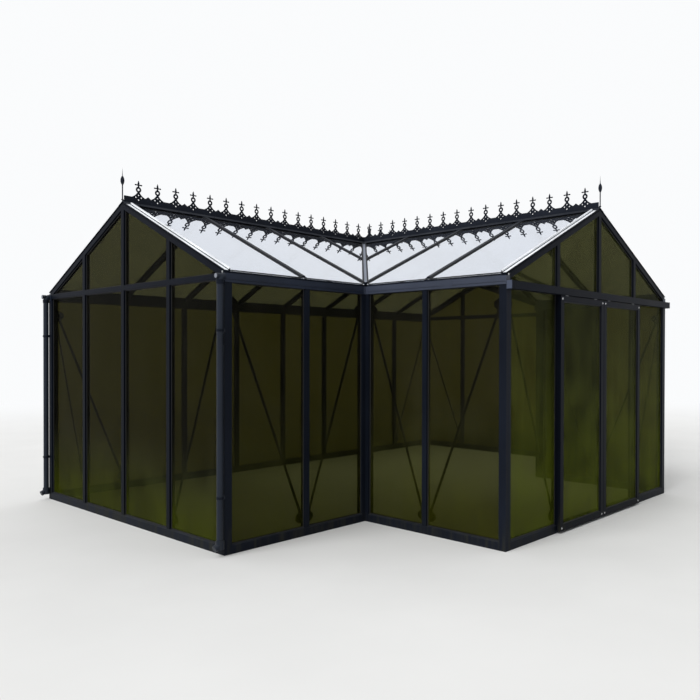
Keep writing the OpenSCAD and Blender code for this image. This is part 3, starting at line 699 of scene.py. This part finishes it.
class Draft:
    """Collects the corners and faces of one piece."""

    smooth_below = math.radians(32)

    def __init__(self) -> None:
        """Starts empty."""
        self.corners: list[Vector] = []
        self.faces: list[tuple[int, ...]] = []

    def tube(self, rings: Sequence[Sequence[Vector]], closed: bool = False) -> None:
        """Joins rings of corners into a skin, with caps on its ends unless it is closed.

        Args:
            rings: Rings with equal counts of corners.
            closed: Joins the last ring to the first.
        """
        count, start = len(rings[0]), len(self.corners)
        faces: list[Sequence[int]] = []
        for i in range(len(rings) if closed else len(rings) - 1):
            j = (i + 1) % len(rings)
            for k in range(count):
                m = (k + 1) % count
                faces.append((i * count + k, i * count + m, j * count + m, j * count + k))
        if not closed:
            faces.append(tuple(reversed(range(count))))
            faces.append(tuple((len(rings) - 1) * count + k for k in range(count)))
        self.corners.extend(p for ring in rings for p in ring)
        self.faces.extend(tuple(start + i for i in face) for face in faces)

    def slab(
        self, outline: Sequence[Point2], seat: Matrix, thick: float, edge: float = 0.001
    ) -> None:
        """A plate with eased edges.

        Args:
            outline: Its outline in the seat's X and Y, anticlockwise.
            seat: Place of the plate, with Z out of it.
            thick: Thickness along Z.
            edge: Width of the eased edge of its outer face.
        """
        flat = [Vector((x, y, 0.0)) for x, y in outline]
        eased = [corner + step * edge for corner, step in zip(flat, inward_steps(flat, UP))]
        levels = ((flat, 0.0), (flat, thick - edge), (eased, thick))
        self.tube([[seat @ (corner + UP * z) for corner in ring] for ring, z in levels])

    def run(self, section: Sequence[Point2], start: Matrix, length: float) -> None:
        """A section in the X and Y of its first end's place, run along Z."""
        self.tube([[start @ Vector((x, y, z)) for x, y in section] for z in (0.0, length)])

    def lathe(self, profile: Sequence[Point2], seat: Matrix, sides: int = 16) -> None:
        """Turns a profile about an axis.

        Args:
            profile: Radius and height of each ring.
            seat: Place of the axis, which is its Z.
            sides: Count of corners in each ring.
        """
        turns = [2 * math.pi * k / sides for k in range(sides)]
        self.tube([
            [seat @ Vector((r * math.cos(a), r * math.sin(a), z)) for a in turns]
            for r, z in profile
        ])

    def gasket(self, outline: Sequence[Vector], normal: Vector, section: Sequence[Point2]) -> None:
        """A strip round a face of a pane, mitred at its corners.

        Args:
            outline: The face's corners.
            normal: The direction that it looks in.
            section: The strip's outline, as distance in from the pane's edge and height.
        """
        self.tube([
            [corner + step * inward + normal * height for inward, height in section]
            for corner, step in zip(outline, inward_steps(outline, normal))
        ], closed=True)

    def build(
        self, name: str, finish: Finish, slot: Slot | None = None, body: Body = Body.HOUSE
    ) -> None:
        """Makes the piece and sets it on its body.

        Args:
            name: The piece's name.
            finish: Its finish.
            slot: The record's finish that it follows; not used.
            body: The body that it rides on.
        """
        mesh = bpy.data.meshes.new(name)
        mesh.from_pydata(self.corners, [], self.faces)
        tidy = bmesh.new()
        tidy.from_mesh(mesh)
        bmesh.ops.recalc_face_normals(tidy, faces=tidy.faces)
        tidy.to_mesh(mesh)
        tidy.free()
        mesh.polygons.foreach_set("use_smooth", [True] * len(mesh.polygons))
        mesh.set_sharp_from_angle(angle=self.smooth_below)
        mesh.materials.append(finish.material())
        piece = placed(name, mesh)
        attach(piece, body.value)
        LOG.info("%s: %d faces on %s", name, len(mesh.polygons), body.value)


@dataclass(frozen=True)
class Screw:
    """A domed screw head with a socket, on a washer.

    The dome is shares of the head's radius and rise, and the socket's foot of its own and the rise.
    """

    head: float = 0.0055
    rise: float = 0.0034
    sides: int = 12
    dome: Section = ((1.0, 0.35), (0.82, 0.78), (0.58, 1.0))
    washer: float = 0.0085
    washer_t: float = 0.0014
    washer_edge: float = 0.7
    socket: float = 0.0026
    socket_foot: Point2 = (0.9, 0.4)

    def add(self, draft: Draft, seat: Matrix) -> None:
        """Adds one screw to a draft.

        Args:
            draft: The piece that it belongs to.
            seat: Its place, with Z out of the surface.
        """
        flat, foot = self.washer_t, self.socket_foot
        rim = (self.washer, flat * self.washer_edge)
        draft.lathe([(POLE_R, 0.0), (self.washer, 0.0), rim, (POLE_R, flat)], seat)
        dome = [(self.head * r, flat + self.rise * z) for r, z in self.dome]
        socket = [(self.socket * r, flat + self.rise * z) for r, z in ((1.0, 1.0), foot)]
        draft.lathe([(self.head, flat / 2), *dome, *socket], seat, self.sides)


# Sub-assemblies


@dataclass(frozen=True)
class Plan:
    """Main places of the building, read from its solids."""

    half_x: float
    half_w: float
    y_back: float
    y_front: float
    y_porch: float
    y_ridge: float
    post_h: float
    apex: float
    pitch: float = math.radians(25.0)

    @classmethod
    def read(cls, glass_in: float = 0.020) -> "Plan":
        """Reads the plan from the boxes of the frame's nodes.

        Args:
            glass_in: Depth of the wall panes behind the outer face.

        Returns:
            The plan.
        """
        posts_low, posts_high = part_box("corner_posts")
        rail_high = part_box("door_rail")[1]
        ridge_low, ridge_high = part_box("main_ridge_beam")
        return cls(
            half_x=posts_high[0],
            half_w=rail_high[0],
            y_back=posts_high[1],
            y_front=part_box("front_wall_glass")[0][1] - glass_in,
            y_porch=posts_low[1],
            y_ridge=(ridge_low[1] + ridge_high[1]) / 2,
            post_h=posts_high[2],
            apex=ridge_high[2],
        )

    @property
    def eave_z(self) -> float:
        """Height of the roof's top plane at the outer faces of the walls."""
        return self.apex - self.half_w * math.tan(self.pitch)

    @property
    def ridges(self) -> tuple[tuple[Vector, Vector], ...]:
        """Start and direction of the house's ridge and of the porch's ridge."""
        house = Vector((-self.half_x, self.y_ridge, self.apex))
        return (house, X_AXIS), (Vector((0.0, self.y_porch, self.apex)), Y_AXIS)


@dataclass
class Glazing:
    """Rubber strips that seal the panes into their bars, on both faces.

    Their section, past the edge that the frame covers, is thick at the frame, with a thin lip.
    """

    nodes: Nodes
    cover: float = 0.0097
    section: Section = (
        (0.0, 0.0), (0.0065, 0.0), (0.0065, 0.0010), (0.0039, 0.00375), (0.0, 0.0050),
    )
    wall_panes: tuple[str, ...] = (
        "back_wall_glass", "front_wall_glass", "porch_side_glass",
        "left_gable_glass", "right_gable_glass", "porch_gable_glass",
    )
    roof_panes: tuple[str, ...] = ("back_roof_glass", "front_roof_glass", "porch_roof_glass")

    def seal(self, piece: str, panes: Iterable[str], body: Body) -> None:
        """Builds the strips of some nodes' panes as one piece.

        Args:
            piece: The new piece's name.
            panes: Names of nodes of glass.
            body: The body that they ride on.
        """
        draft = Draft()
        section = [(self.cover + x, y) for x, y in self.section]
        for name in panes:
            for solid in solids_of(self.nodes[name]):
                for outline, normal in faces_of_pane(solid):
                    draft.gasket(outline, normal, section)
        draft.build(piece, SEAL_RUBBER, body=body)

    def build(self) -> None:
        """Builds all the strips."""
        self.seal("wall_seals", self.wall_panes, Body.HOUSE)
        self.seal("roof_seals", self.roof_panes, Body.HOUSE)
        for leaf in (Body.LEFT_DOOR, Body.RIGHT_DOOR):
            self.seal(f"{leaf.value}_seals", (f"{leaf.value}_glass",), leaf)


@dataclass
class BracePlates:
    """Bolted plates at both ends of every diagonal brace.

    The outline and the bolts' places are shares of the plate's reach along the wall and of its
    height, counted from the end of the brace.
    """

    nodes: Nodes
    plan: Plan
    reach: float = 0.070
    tall: float = 0.095
    thick: float = 0.004
    end_slack: float = 0.001
    outline: Section = (
        (0.0, -0.72), (0.45, -0.72), (1.0, -0.324), (1.0, 0.0), (0.55, 0.28), (0.0, 0.28),
    )
    bolts_at: Section = ((0.30, 0.12), (0.30, -0.42), (0.68, -0.14))
    bolt: Screw = Screw(head=0.008, rise=0.006, washer=0.011)

    def ends(self, brace: Solid) -> Iterator[tuple[Vector, Vector, Vector]]:
        """The two ends of a brace.

        Args:
            brace: The brace.

        Yields:
            The middle of an end on the inner face, the way along the wall into the bay, and the
            way into the house.
        """
        size = brace.high - brace.low
        along = 0 if size.x > size.y else 1
        deep = 1 - along
        house_middle = (0.0, self.plan.y_ridge)[deep]
        inward = 1.0 if brace.middle[deep] < house_middle else -1.0
        for sign, edge in ((1.0, brace.low[along]), (-1.0, brace.high[along])):
            corner = [p for p in brace.points if abs(p[along] - edge) < self.end_slack]
            place = sum(corner, Vector()) / len(corner)
            place[deep] = (brace.high if inward > 0 else brace.low)[deep]
            step, into = Vector(), Vector()
            step[along], into[deep] = sign, inward
            yield place, step, into

    def build(self) -> None:
        """Builds the plates and their bolts."""
        plates, bolts = Draft(), Draft()
        for brace in solids_of(self.nodes["wall_braces"]):
            for place, step, into in self.ends(brace):
                seat = seat_at(place, into)
                wide = math.copysign(self.reach, seat.col[0].xyz.dot(step))
                tall = math.copysign(self.tall, place.z - brace.middle.z)
                outline = [(x * wide, y * tall) for x, y in self.outline]
                if wide * tall < 0:
                    outline.reverse()
                plates.slab(outline, seat, self.thick)
                for x, y in self.bolts_at:
                    spot = Vector((x * wide, y * tall, self.thick))
                    self.bolt.add(bolts, seat @ Matrix.Translation(spot))
        plates.build("brace_plates", FRAME_COAT, Slot.FRAME)
        bolts.build("brace_bolts", ROLLER_STEEL, Slot.STEEL)


@dataclass
class GutterFittings:
    """Sleeves over the gutters' joints and covers on their inner mitres."""

    plan: Plan
    out: float = 0.005
    tall: float = 0.066
    skin: float = 0.0016
    sleeve_l: float = 0.085
    lip: float = 0.008
    cover_w: float = 0.024
    porch_joint: float = 0.62
    back_joint: float = 1 / 3

    def sleeve(self, draft: Draft, place: Vector, outward: Vector) -> None:
        """Adds a sleeve, a thin strap that wraps the fascia.

        Args:
            draft: The piece that it belongs to.
            place: Middle of the sleeve, at the foot of the fascia's face.
            outward: Direction that the fascia faces.
        """
        s, h, lip = self.skin, self.tall, self.lip
        hooks = [(lip, -s), (lip, 0.0), (0.0, 0.0), (0.0, h), (lip, h), (lip, h + s)]
        along = outward.cross(UP)
        start = axes_at(place - along * self.sleeve_l / 2, -outward, UP, along)
        draft.run([*hooks, (-s, h + s), (-s, -s)], start, self.sleeve_l)

    def build(self) -> None:
        """Builds the fittings."""
        plan, porch, back = self.plan, Draft(), Draft()
        z, s, w = plan.post_h, self.skin, self.cover_w
        angle = [(0.0, 0.0), (0.0, -w), (s, -w), (s, -s), (w, -s), (w, 0.0)]
        y_joint = plan.y_front - (plan.y_front - plan.y_porch) * self.porch_joint
        for side in SIDES:
            x, x_joint = side * (plan.half_w + self.out), side * plan.half_x * self.back_joint
            corner = Matrix.Translation((x, plan.y_front - self.out, z - s))
            porch.run([(side * a, b) for a, b in angle], corner, self.tall + 2 * s)
            self.sleeve(porch, Vector((x, y_joint, z)), X_AXIS * side)
            self.sleeve(back, Vector((x_joint, plan.y_back + self.out, z)), Y_AXIS)
        # The porch fittings share the porch gutters' painted sky sheen.
        porch.build("gutter_fittings", PORCH_GUTTER_SHEEN_COAT, Slot.FRAME)
        # The back sleeves share the house gutters' painted sky sheen.
        back.build("back_gutter_sleeves", GUTTER_SHEEN_COAT, Slot.FRAME)


@dataclass
class RidgeFittings:
    """Screws along both sides of the ridge caps."""

    plan: Plan
    spacing: float = 0.37
    side: float = 0.048
    cap_t: float = 0.003
    end: float = 0.14
    short_of_ridge: float = 0.2
    screw: Screw = Screw()

    def build(self) -> None:
        """Builds the screws."""
        plan, draft = self.plan, Draft()
        c, s, drop = math.cos(plan.pitch), math.sin(plan.pitch), self.side * math.tan(plan.pitch)
        lengths = (2 * plan.half_x, plan.y_ridge - plan.y_porch - self.short_of_ridge)
        for (start, along), length in zip(plan.ridges, lengths):
            reach = length - 2 * self.end
            count = int(reach / self.spacing)
            for i, sign in product(range(count + 1), SIDES):
                across = along.cross(UP) * sign
                out = across * s + UP * c
                spot = start + along * (self.end + i * reach / count)
                place = spot + across * self.side - UP * drop + out * self.cap_t
                self.screw.add(draft, seat_at(place, out, along))
        draft.build("ridge_screws", TRIM_COAT, Slot.TRIM)


@dataclass
class CrestCastings:
    """Raised cast work on both faces of the cresting's ornaments.

    Places on an ornament are distances along the ridge and heights over its foot. A bar is a
    path of places with the bar's half width there, and a rim is the middle of a hole with the
    rim's radius at its corners, its half width and its count of corners.
    """

    plan: Plan
    spacing: float = 0.185
    first: float = 0.1525
    seat_h: float = 0.010
    rims: tuple[tuple[float, float, float, float, int], ...] = (
        (0.0, 0.115, 0.0182, 0.0087, 20),
        (0.0, 0.066, 0.0108, 0.0029, 4),
        (0.0, 0.024, 0.0108, 0.0029, 4),
        (0.026, 0.045, 0.0108, 0.0029, 4),
        (-0.026, 0.045, 0.0108, 0.0029, 4),
    )
    neck: Path = ((0.0, 0.078, 0.0095), (0.0, 0.0968, 0.0095))
    arms: Path = (
        (-0.037, 0.157, 0.0010), (-0.030, 0.157, 0.0068), (-0.023, 0.157, 0.0055),
        (0.023, 0.157, 0.0055), (0.030, 0.157, 0.0068), (0.037, 0.157, 0.0010),
    )
    blade: Path = (
        (0.0, 0.1332, 0.0075), (0.0, 0.157, 0.0085), (0.0, 0.1703333, 0.0100),
        (0.0, 0.187, 0.0055), (0.0, 0.197, 0.0010),
    )
    leg_top: Point2 = (0.00475, 0.090)
    leg_foot: Point2 = (0.055, 0.045)
    leg_dip: float = 0.008
    leg_half: float = 0.0055
    leg_steps: int = 6
    deep: float = 0.005
    section: Section = (
        (1.0, 0.0), (0.5, 1.0), (-0.5, 1.0), (-1.0, 0.0), (-0.5, -1.0), (0.5, -1.0),
    )
    draft: Draft = field(default_factory=Draft)

    def bar(self, seat: Matrix, path: Sequence[Point3], closed: bool = False) -> None:
        """Adds a six-sided bar that widens and narrows along its path.

        Args:
            seat: Foot of the ornament, with X along the ridge and Y up.
            path: The bar's path.
            closed: Joins the path's end to its start.
        """
        rings, last = [], len(path) - 1
        for i, (x, y, half) in enumerate(path):
            before = path[i - 1] if i or closed else path[0]
            after = path[(i + 1) % len(path)] if i < last or closed else path[last]
            way = Vector((after[0] - before[0], after[1] - before[1], 0.0)).normalized()
            side, middle = Vector((-way.y, way.x, 0.0)) * half, Vector((x, y, 0.0))
            depth = self.deep if closed else min(self.deep, half)
            rings.append([seat @ (middle + side * a + UP * (depth * b)) for a, b in self.section])
        self.draft.tube(rings, closed)

    def leg(self, side: float, t: float) -> Point3:
        """Finds a place on a curved edge of an ornament's foot.

        Args:
            side: -1 or 1, the side of the ornament.
            t: Share of the way down the edge.

        Returns:
            The place, with the half width of the bar on that edge.
        """
        (x, y), (foot_x, foot_y) = self.leg_top, self.leg_foot
        sag = 4 * self.leg_dip * t * (1 - t)
        return side * (x + (foot_x - x) * t), y + (foot_y - y) * t - sag, self.leg_half

    def ornament(self, seat: Matrix) -> None:
        """Adds the cast work of one ornament.

        Args:
            seat: Foot of the ornament.
        """
        for x, y, r, half, sides in self.rims:
            turns = [2 * math.pi * k / sides for k in range(sides)]
            rim = [(x + r * math.cos(a), y + r * math.sin(a), half) for a in turns]
            self.bar(seat, rim, closed=True)
        shares = [k / self.leg_steps for k in range(self.leg_steps + 1)]
        legs = [[self.leg(side, t) for t in shares] for side in SIDES]
        for path in (*legs, self.neck, self.arms, self.blade):
            self.bar(seat, path)

    def build(self) -> None:
        """Builds the cast work of both ridges."""
        plan = self.plan
        lengths = (2 * plan.half_x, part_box("porch_ridge_crest")[1][1] - plan.y_porch)
        for (start, along), length in zip(plan.ridges, lengths):
            for k in range(int((length - self.first) / self.spacing) + 1):
                foot = start + along * (self.first + k * self.spacing) + UP * self.seat_h
                self.ornament(axes_at(foot, along, UP, along.cross(UP)))
        self.draft.build("crest_castings", TRIM_COAT, Slot.TRIM)


@dataclass
class EdgeStrips:
    """Pale strips of painted sky reflection on the gables' roof edges and upstands, valley strips
    with a painted sky sheen, and rafter screws.

    Sections are distances in from the gable's face and heights off the roof's plane.
    """

    plan: Plan
    # Both sections are pale strips of painted sky reflection, one on the rafter's top and one over
    # its upstand.
    edge: Section = ((0.003, 0.0), (0.034, 0.0), (0.034, 0.0015), (0.003, 0.0015))
    upstand_reflection: Section = (
        (0.0365, 0.007), (0.038, 0.007), (0.038, 0.018),
        (0.049, 0.018), (0.049, 0.0195), (0.0365, 0.0195),
    )
    short_of_ridge: float = 0.075
    valley_t: float = 0.0015
    valley_half: float = 0.012
    valley_from: float = 0.060
    valley_to: float = 1.42
    screw_up: float = 0.028
    screw_drop: float = 0.012
    screw: Screw = Screw()

    def feet(self) -> Iterator[tuple[Vector, Vector, Vector]]:
        """The rafters' feet.

        Yields:
            The outer corner of a rafter's top, the way into the house from the gable's face and
            the level way to the ridge.
        """
        plan, z = self.plan, self.plan.eave_z
        for side in SIDES:
            yield Vector((side * plan.half_w, plan.y_porch, z)), Y_AXIS, X_AXIS * -side
            for y, to_ridge in ((plan.y_front, 1.0), (plan.y_back, -1.0)):
                yield Vector((side * plan.half_x, y, z)), X_AXIS * -side, Y_AXIS * to_ridge

    def valleys(self) -> None:
        """Builds the strips in both valleys."""
        plan, draft, w, s = self.plan, Draft(), self.valley_half, self.valley_t
        for side in SIDES:
            climb = Vector((-side, 1.0, math.tan(plan.pitch)))
            across, rise = Vector((1.0, side, 0.0)).normalized(), climb.normalized()
            out = rise.cross(across)
            out = out if out.z > 0 else -out
            foot = Vector((side * plan.half_w, plan.y_front, plan.eave_z))
            seat = axes_at(foot + climb * self.valley_from, across, out, rise)
            h = w * math.tan(plan.pitch) / math.sqrt(2) * out.z
            section = [(-w, h), (0.0, 0.0), (w, h), (w, h + s), (0.0, s), (-w, h + s)]
            draft.run(section, seat, climb.length * (self.valley_to - self.valley_from))
        # The strips take a pale blue-grey that is painted sky reflection.
        draft.build("valley_strips", VALLEY_SKY_SHEEN_COAT)

    def build(self) -> None:
        """Builds the strips and the screws."""
        plan, strips, screws = self.plan, Draft(), Draft()
        c, s = math.cos(plan.pitch), math.sin(plan.pitch)
        length = (plan.half_w - self.short_of_ridge) / c
        for foot, inward, level in self.feet():
            seat = axes_at(foot, inward, UP * c - level * s, level * c + UP * s)
            # Pale strips of painted sky reflection along each rafter.
            strips.run(self.edge, seat, length)
            strips.run(self.upstand_reflection, seat, length)
            spot = foot + level * self.screw_up - UP * self.screw_drop
            self.screw.add(screws, seat_at(spot, -inward))
        strips.build("edge_reflection_strips", SKY_REFLECTION_STRIP)
        self.valleys()
        screws.build("rafter_screws", BRIGHT_STEEL, Slot.STEEL)


@dataclass
class PipeFittings:
    """Straps and collars round the rainwater pipes, and stoppers in their elbows.

    The stopper's profile is shares of its radius, and heights.
    """

    plan: Plan
    radius: float = 0.025
    sides: int = 32
    off_gable: float = 0.033
    in_wall: float = 0.008
    strap_zs: tuple[float, ...] = (0.432, 1.662)
    strap_h: float = 0.020
    strap_t: float = 0.0025
    band_ease: float = 0.4
    collar_h: float = 0.034
    collar_t: float = 0.004
    collar_drop: float = 0.02
    cap_r: float = 0.017
    cap_out: float = 0.070
    cap_z: float = 0.040
    cap_sides: int = 24
    cap_dome: Section = ((1.0, 0.0), (1.0, 0.0015), (0.85, 0.0030), (0.45, 0.0040))
    cap_top: float = 0.0043
    screw: Screw = Screw()

    def band(self, draft: Draft, foot: Vector, height: float, thick: float) -> None:
        """Adds a band with eased edges round a pipe.

        Args:
            draft: The piece that it belongs to.
            foot: Point on the pipe's axis, at the foot of the band.
            height: Height of the band.
            thick: Thickness outside the pipe.
        """
        r, outer, e = self.radius, self.radius + thick, thick * self.band_ease
        rise = [(r, 0.0), (outer - e, 0.0), (outer, e)]
        profile = rise + [(x, height - z) for x, z in reversed(rise)]
        draft.lathe(profile, Matrix.Translation(foot), self.sides)

    def build(self) -> None:
        """Builds the bands and stoppers of all the pipes."""
        plan, bands, screws, caps = self.plan, Draft(), Draft(), Draft()
        dome = [(r * self.cap_r, z) for r, z in self.cap_dome] + [(POLE_R, self.cap_top)]
        walls = ((plan.y_front, -1.0), (plan.y_back, 1.0))
        for x_side, (y_wall, y_side) in ((x, wall) for x in SIDES for wall in walls):
            x_gable, y = x_side * plan.half_x, y_wall - y_side * self.in_wall
            axis = Vector((x_gable + x_side * self.off_gable, y, 0.0))
            out = Vector((x_side, y_side, 0.0)).normalized()
            for z in self.strap_zs:
                self.band(bands, axis + UP * (z - self.strap_h / 2), self.strap_h, self.strap_t)
                place = axis + UP * z + out * (self.radius + self.strap_t)
                self.screw.add(screws, seat_at(place, out))
            collar = axis + UP * (plan.post_h - self.collar_drop)
            self.band(bands, collar, self.collar_h, self.collar_t)
            tip = Vector((x_gable + x_side * self.cap_out, y, plan.post_h + self.cap_z))
            caps.lathe(dome, seat_at(tip, X_AXIS * x_side), self.cap_sides)
        caps.build("elbow_stoppers", PALE_CAP)
        bands.build("pipe_bands", FRAME_COAT, Slot.FRAME)
        screws.build("pipe_screws", FRAME_COAT, Slot.FRAME)


@dataclass
class DoorFittings:
    """End caps of the door rail, corner screws of the leaves and the brushes where they meet."""

    nodes: Nodes
    cap_t: float = 0.003
    cap_past: float = 0.002
    cap_in: float = 0.001
    screw_in: float = 0.026
    brush_w: float = 0.010
    brush_past: float = 0.0022
    brush_taper: float = 0.5
    brush_gap: float = 0.01
    screw: Screw = Screw()

    def rail_caps(self) -> None:
        """Builds a cap on each end of the rail: grey with painted sky light on the left, dark on
        the right.
        """
        low, high = (Vector(corner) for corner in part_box("door_rail"))
        middle, half = (low + high) / 2, (high - low) / 2
        deep, tall = half.y - self.cap_in, half.z + self.cap_past
        outline = [(-deep, -tall), (deep, -tall), (deep, tall), (-deep, tall)]
        caps = (("left_rail_cap", -1.0, SKYLIT_GREY_CAP), ("right_rail_cap", 1.0, SEAL_RUBBER))
        for name, side, finish in caps:
            draft, out = Draft(), X_AXIS * side
            draft.slab(outline, seat_at(middle + out * half.x, out), self.cap_t)
            draft.build(name, finish)

    def leaf(self, body: Body, meeting: float) -> None:
        """Builds the screws and the brush of one leaf.

        Args:
            body: The leaf, whose name starts its nodes' names.
            meeting: 1 if the other leaf is on its +X side, -1 if on its -X side.
        """
        name, screws, brush = body.value, Draft(), Draft()
        stiles = solids_of(self.nodes[f"{name}_stiles"])
        for stile in stiles:
            for z in (stile.low.z + self.screw_in, stile.high.z - self.screw_in):
                place = Vector((stile.middle.x, stile.low.y, z))
                self.screw.add(screws, seat_at(place, -Y_AXIS))
        screws.build(f"{name}_screws", BRIGHT_STEEL, Slot.STEEL, body)
        inner = stiles[1] if meeting > 0 else stiles[0]
        edge = inner.high.x if meeting > 0 else inner.low.x
        half, past = self.brush_w / 2, self.brush_past
        tip = half * self.brush_taper
        section = [(-half, 0.0), (half, 0.0), (tip, past), (-tip, past)]
        foot = Vector((edge, inner.middle.y, inner.low.z + self.brush_gap))
        length = inner.high.z - inner.low.z - 2 * self.brush_gap
        brush.run(section, seat_at(foot, UP, X_AXIS * meeting), length)
        brush.build(f"{name}_brush", SEAL_RUBBER, body=body)

    def build(self) -> None:
        """Builds the fittings of the rail and both leaves."""
        self.rail_caps()
        self.leaf(Body.LEFT_DOOR, 1.0)
        self.leaf(Body.RIGHT_DOOR, -1.0)


# Studio


def bearing_to(turn: float, rise: float) -> Vector:
    """The direction at a turn from +X and a rise above level, in radians."""
    level = math.cos(rise)
    return Vector((math.cos(turn) * level, math.sin(turn) * level, math.sin(rise)))


@dataclass
class Camera:
    """The camera at the photograph's place, worked out in its pixels."""

    place: Point3 = (-6.0718, -5.2254, 1.4950)
    yaw: float = 0.7294
    pitch: float = -0.0085
    roll: float = 0.0024
    focal_px: float = 711.85
    centre_px: Point2 = (398.0, 359.5)
    image_px: float = 700.0
    sensor_mm: float = 36.0
    clip_end: float = 200.0

    def build(self) -> None:
        """Makes the camera and sets it as the scene's."""
        forward = bearing_to(self.yaw, self.pitch)
        right = Vector((math.sin(self.yaw), -math.cos(self.yaw), 0.0))
        up = right.cross(forward)
        c, s = math.cos(self.roll), math.sin(self.roll)
        lens = bpy.data.cameras.new("camera")
        lens.sensor_width = self.sensor_mm
        lens.lens = self.focal_px * self.sensor_mm / self.image_px
        lens.shift_x = (self.image_px / 2 - self.centre_px[0]) / self.image_px
        lens.shift_y = (self.centre_px[1] - self.image_px / 2) / self.image_px
        lens.clip_end = self.clip_end
        camera = placed("camera", lens)
        camera.matrix_world = axes_at(self.place, right * c + up * s, up * c - right * s, -forward)
        bpy.context.scene.camera = camera


@dataclass(frozen=True)
class Lamp:
    """One far, soft lamp, with its bearing from +X, height above level and spread in degrees."""

    name: str
    bearing: float
    height: float
    power: float
    spread: float

    def build(self) -> None:
        """Makes the lamp, which mirrors and glass don't show."""
        light = bpy.data.lights.new(self.name, "SUN")
        light.energy = self.power
        light.angle = math.radians(self.spread)
        lamp = placed(self.name, light)
        source = bearing_to(math.radians(self.bearing), math.radians(self.height))
        lamp.rotation_euler = source.to_track_quat("Z", "Y").to_euler()
        lamp.visible_glossy = False
        lamp.visible_transmission = False


@dataclass
class Studio:
    """A pale floor, a white world and soft lamps."""

    floor_half: float = 60.0
    floor_z: float = -0.001
    ambient: float = 0.38
    background: Colour = (0.96, 0.97, 0.98)
    lamps: tuple[Lamp, ...] = (
        Lamp("key_lamp", 186.0, 38.0, 2.5, 50.0),
        Lamp("top_lamp", 60.0, 72.0, 0.8, 60.0),
    )

    def floor(self) -> None:
        """Makes the floor as a stage."""
        mesh = bpy.data.meshes.new("studio_floor")
        h, z = self.floor_half, self.floor_z
        mesh.from_pydata([(-h, -h, z), (h, -h, z), (h, h, z), (-h, h, z)], [], [(0, 1, 2, 3)])
        mesh.materials.append(PaleFloor("studio_floor").material())
        placed("studio_floor", mesh)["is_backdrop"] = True

    def world(self) -> None:
        """Makes the world, white where it is seen and softer where it lights the object."""
        world = bpy.data.worlds.new("studio_world")
        world.use_nodes = True
        bpy.context.scene.world = world
        graph = Graph(world.node_tree)
        path = graph.node("LightPath", output="Is Camera Ray")
        seen = path | path.out("Is Glossy Ray") | path.out("Is Transmission Ray")
        strength = seen * (1.0 - self.ambient) + self.ambient
        light = graph.node("Background", {"Color": self.background, "Strength": strength})
        graph.show(light, "OutputWorld")

    def build(self) -> None:
        """Makes the whole studio."""
        bpy.context.scene.view_settings.view_transform = "Standard"
        self.floor()
        self.world()
        for lamp in self.lamps:
            lamp.build()


def dress_nodes(nodes: Nodes, record: dict[str, Any]) -> None:
    """Gives every CAD node its own finish, or the one that its slot in the record names.

    Args:
        nodes: The frame's nodes.
        record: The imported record.
    """
    for part in record["subparts"]:
        own = NODE_FINISH.get(part["node"], SLOT_FINISH[Slot(part["material_slot"])])
        finish = own.material()
        node = nodes[part["node"]]
        if not node.material_slots:
            node.data.materials.append(finish)
        for slot in node.material_slots:
            slot.material = finish


def write_sizes(cad: Sequence[Sequence[float]]) -> None:
    """Works out the box of the CAD model and the box of the dressed model, as plain lists; it
    writes nothing.

    Args:
        cad: Lowest and highest corner of the CAD model.
    """
    boxes = {"cad": cad, "visual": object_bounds()}
    plain = {name: [[float(v) for v in corner] for corner in box] for name, box in boxes.items()}


def main() -> None:
    """Loads the frame, dresses it and sets up the studio."""
    logging.basicConfig(level=logging.INFO, format="%(name)s: %(message)s")
    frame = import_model()
    cad_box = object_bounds()
    nodes = frame["nodes"]
    plan = Plan.read()
    dress_nodes(nodes, frame["record"])
    Glazing(nodes).build()
    BracePlates(nodes, plan).build()
    GutterFittings(plan).build()
    RidgeFittings(plan).build()
    CrestCastings(plan).build()
    EdgeStrips(plan).build()
    PipeFittings(plan).build()
    DoorFittings(nodes).build()
    Studio().build()
    Camera().build()
    write_sizes(cad_box)


if __name__ == "__main__":
    main()
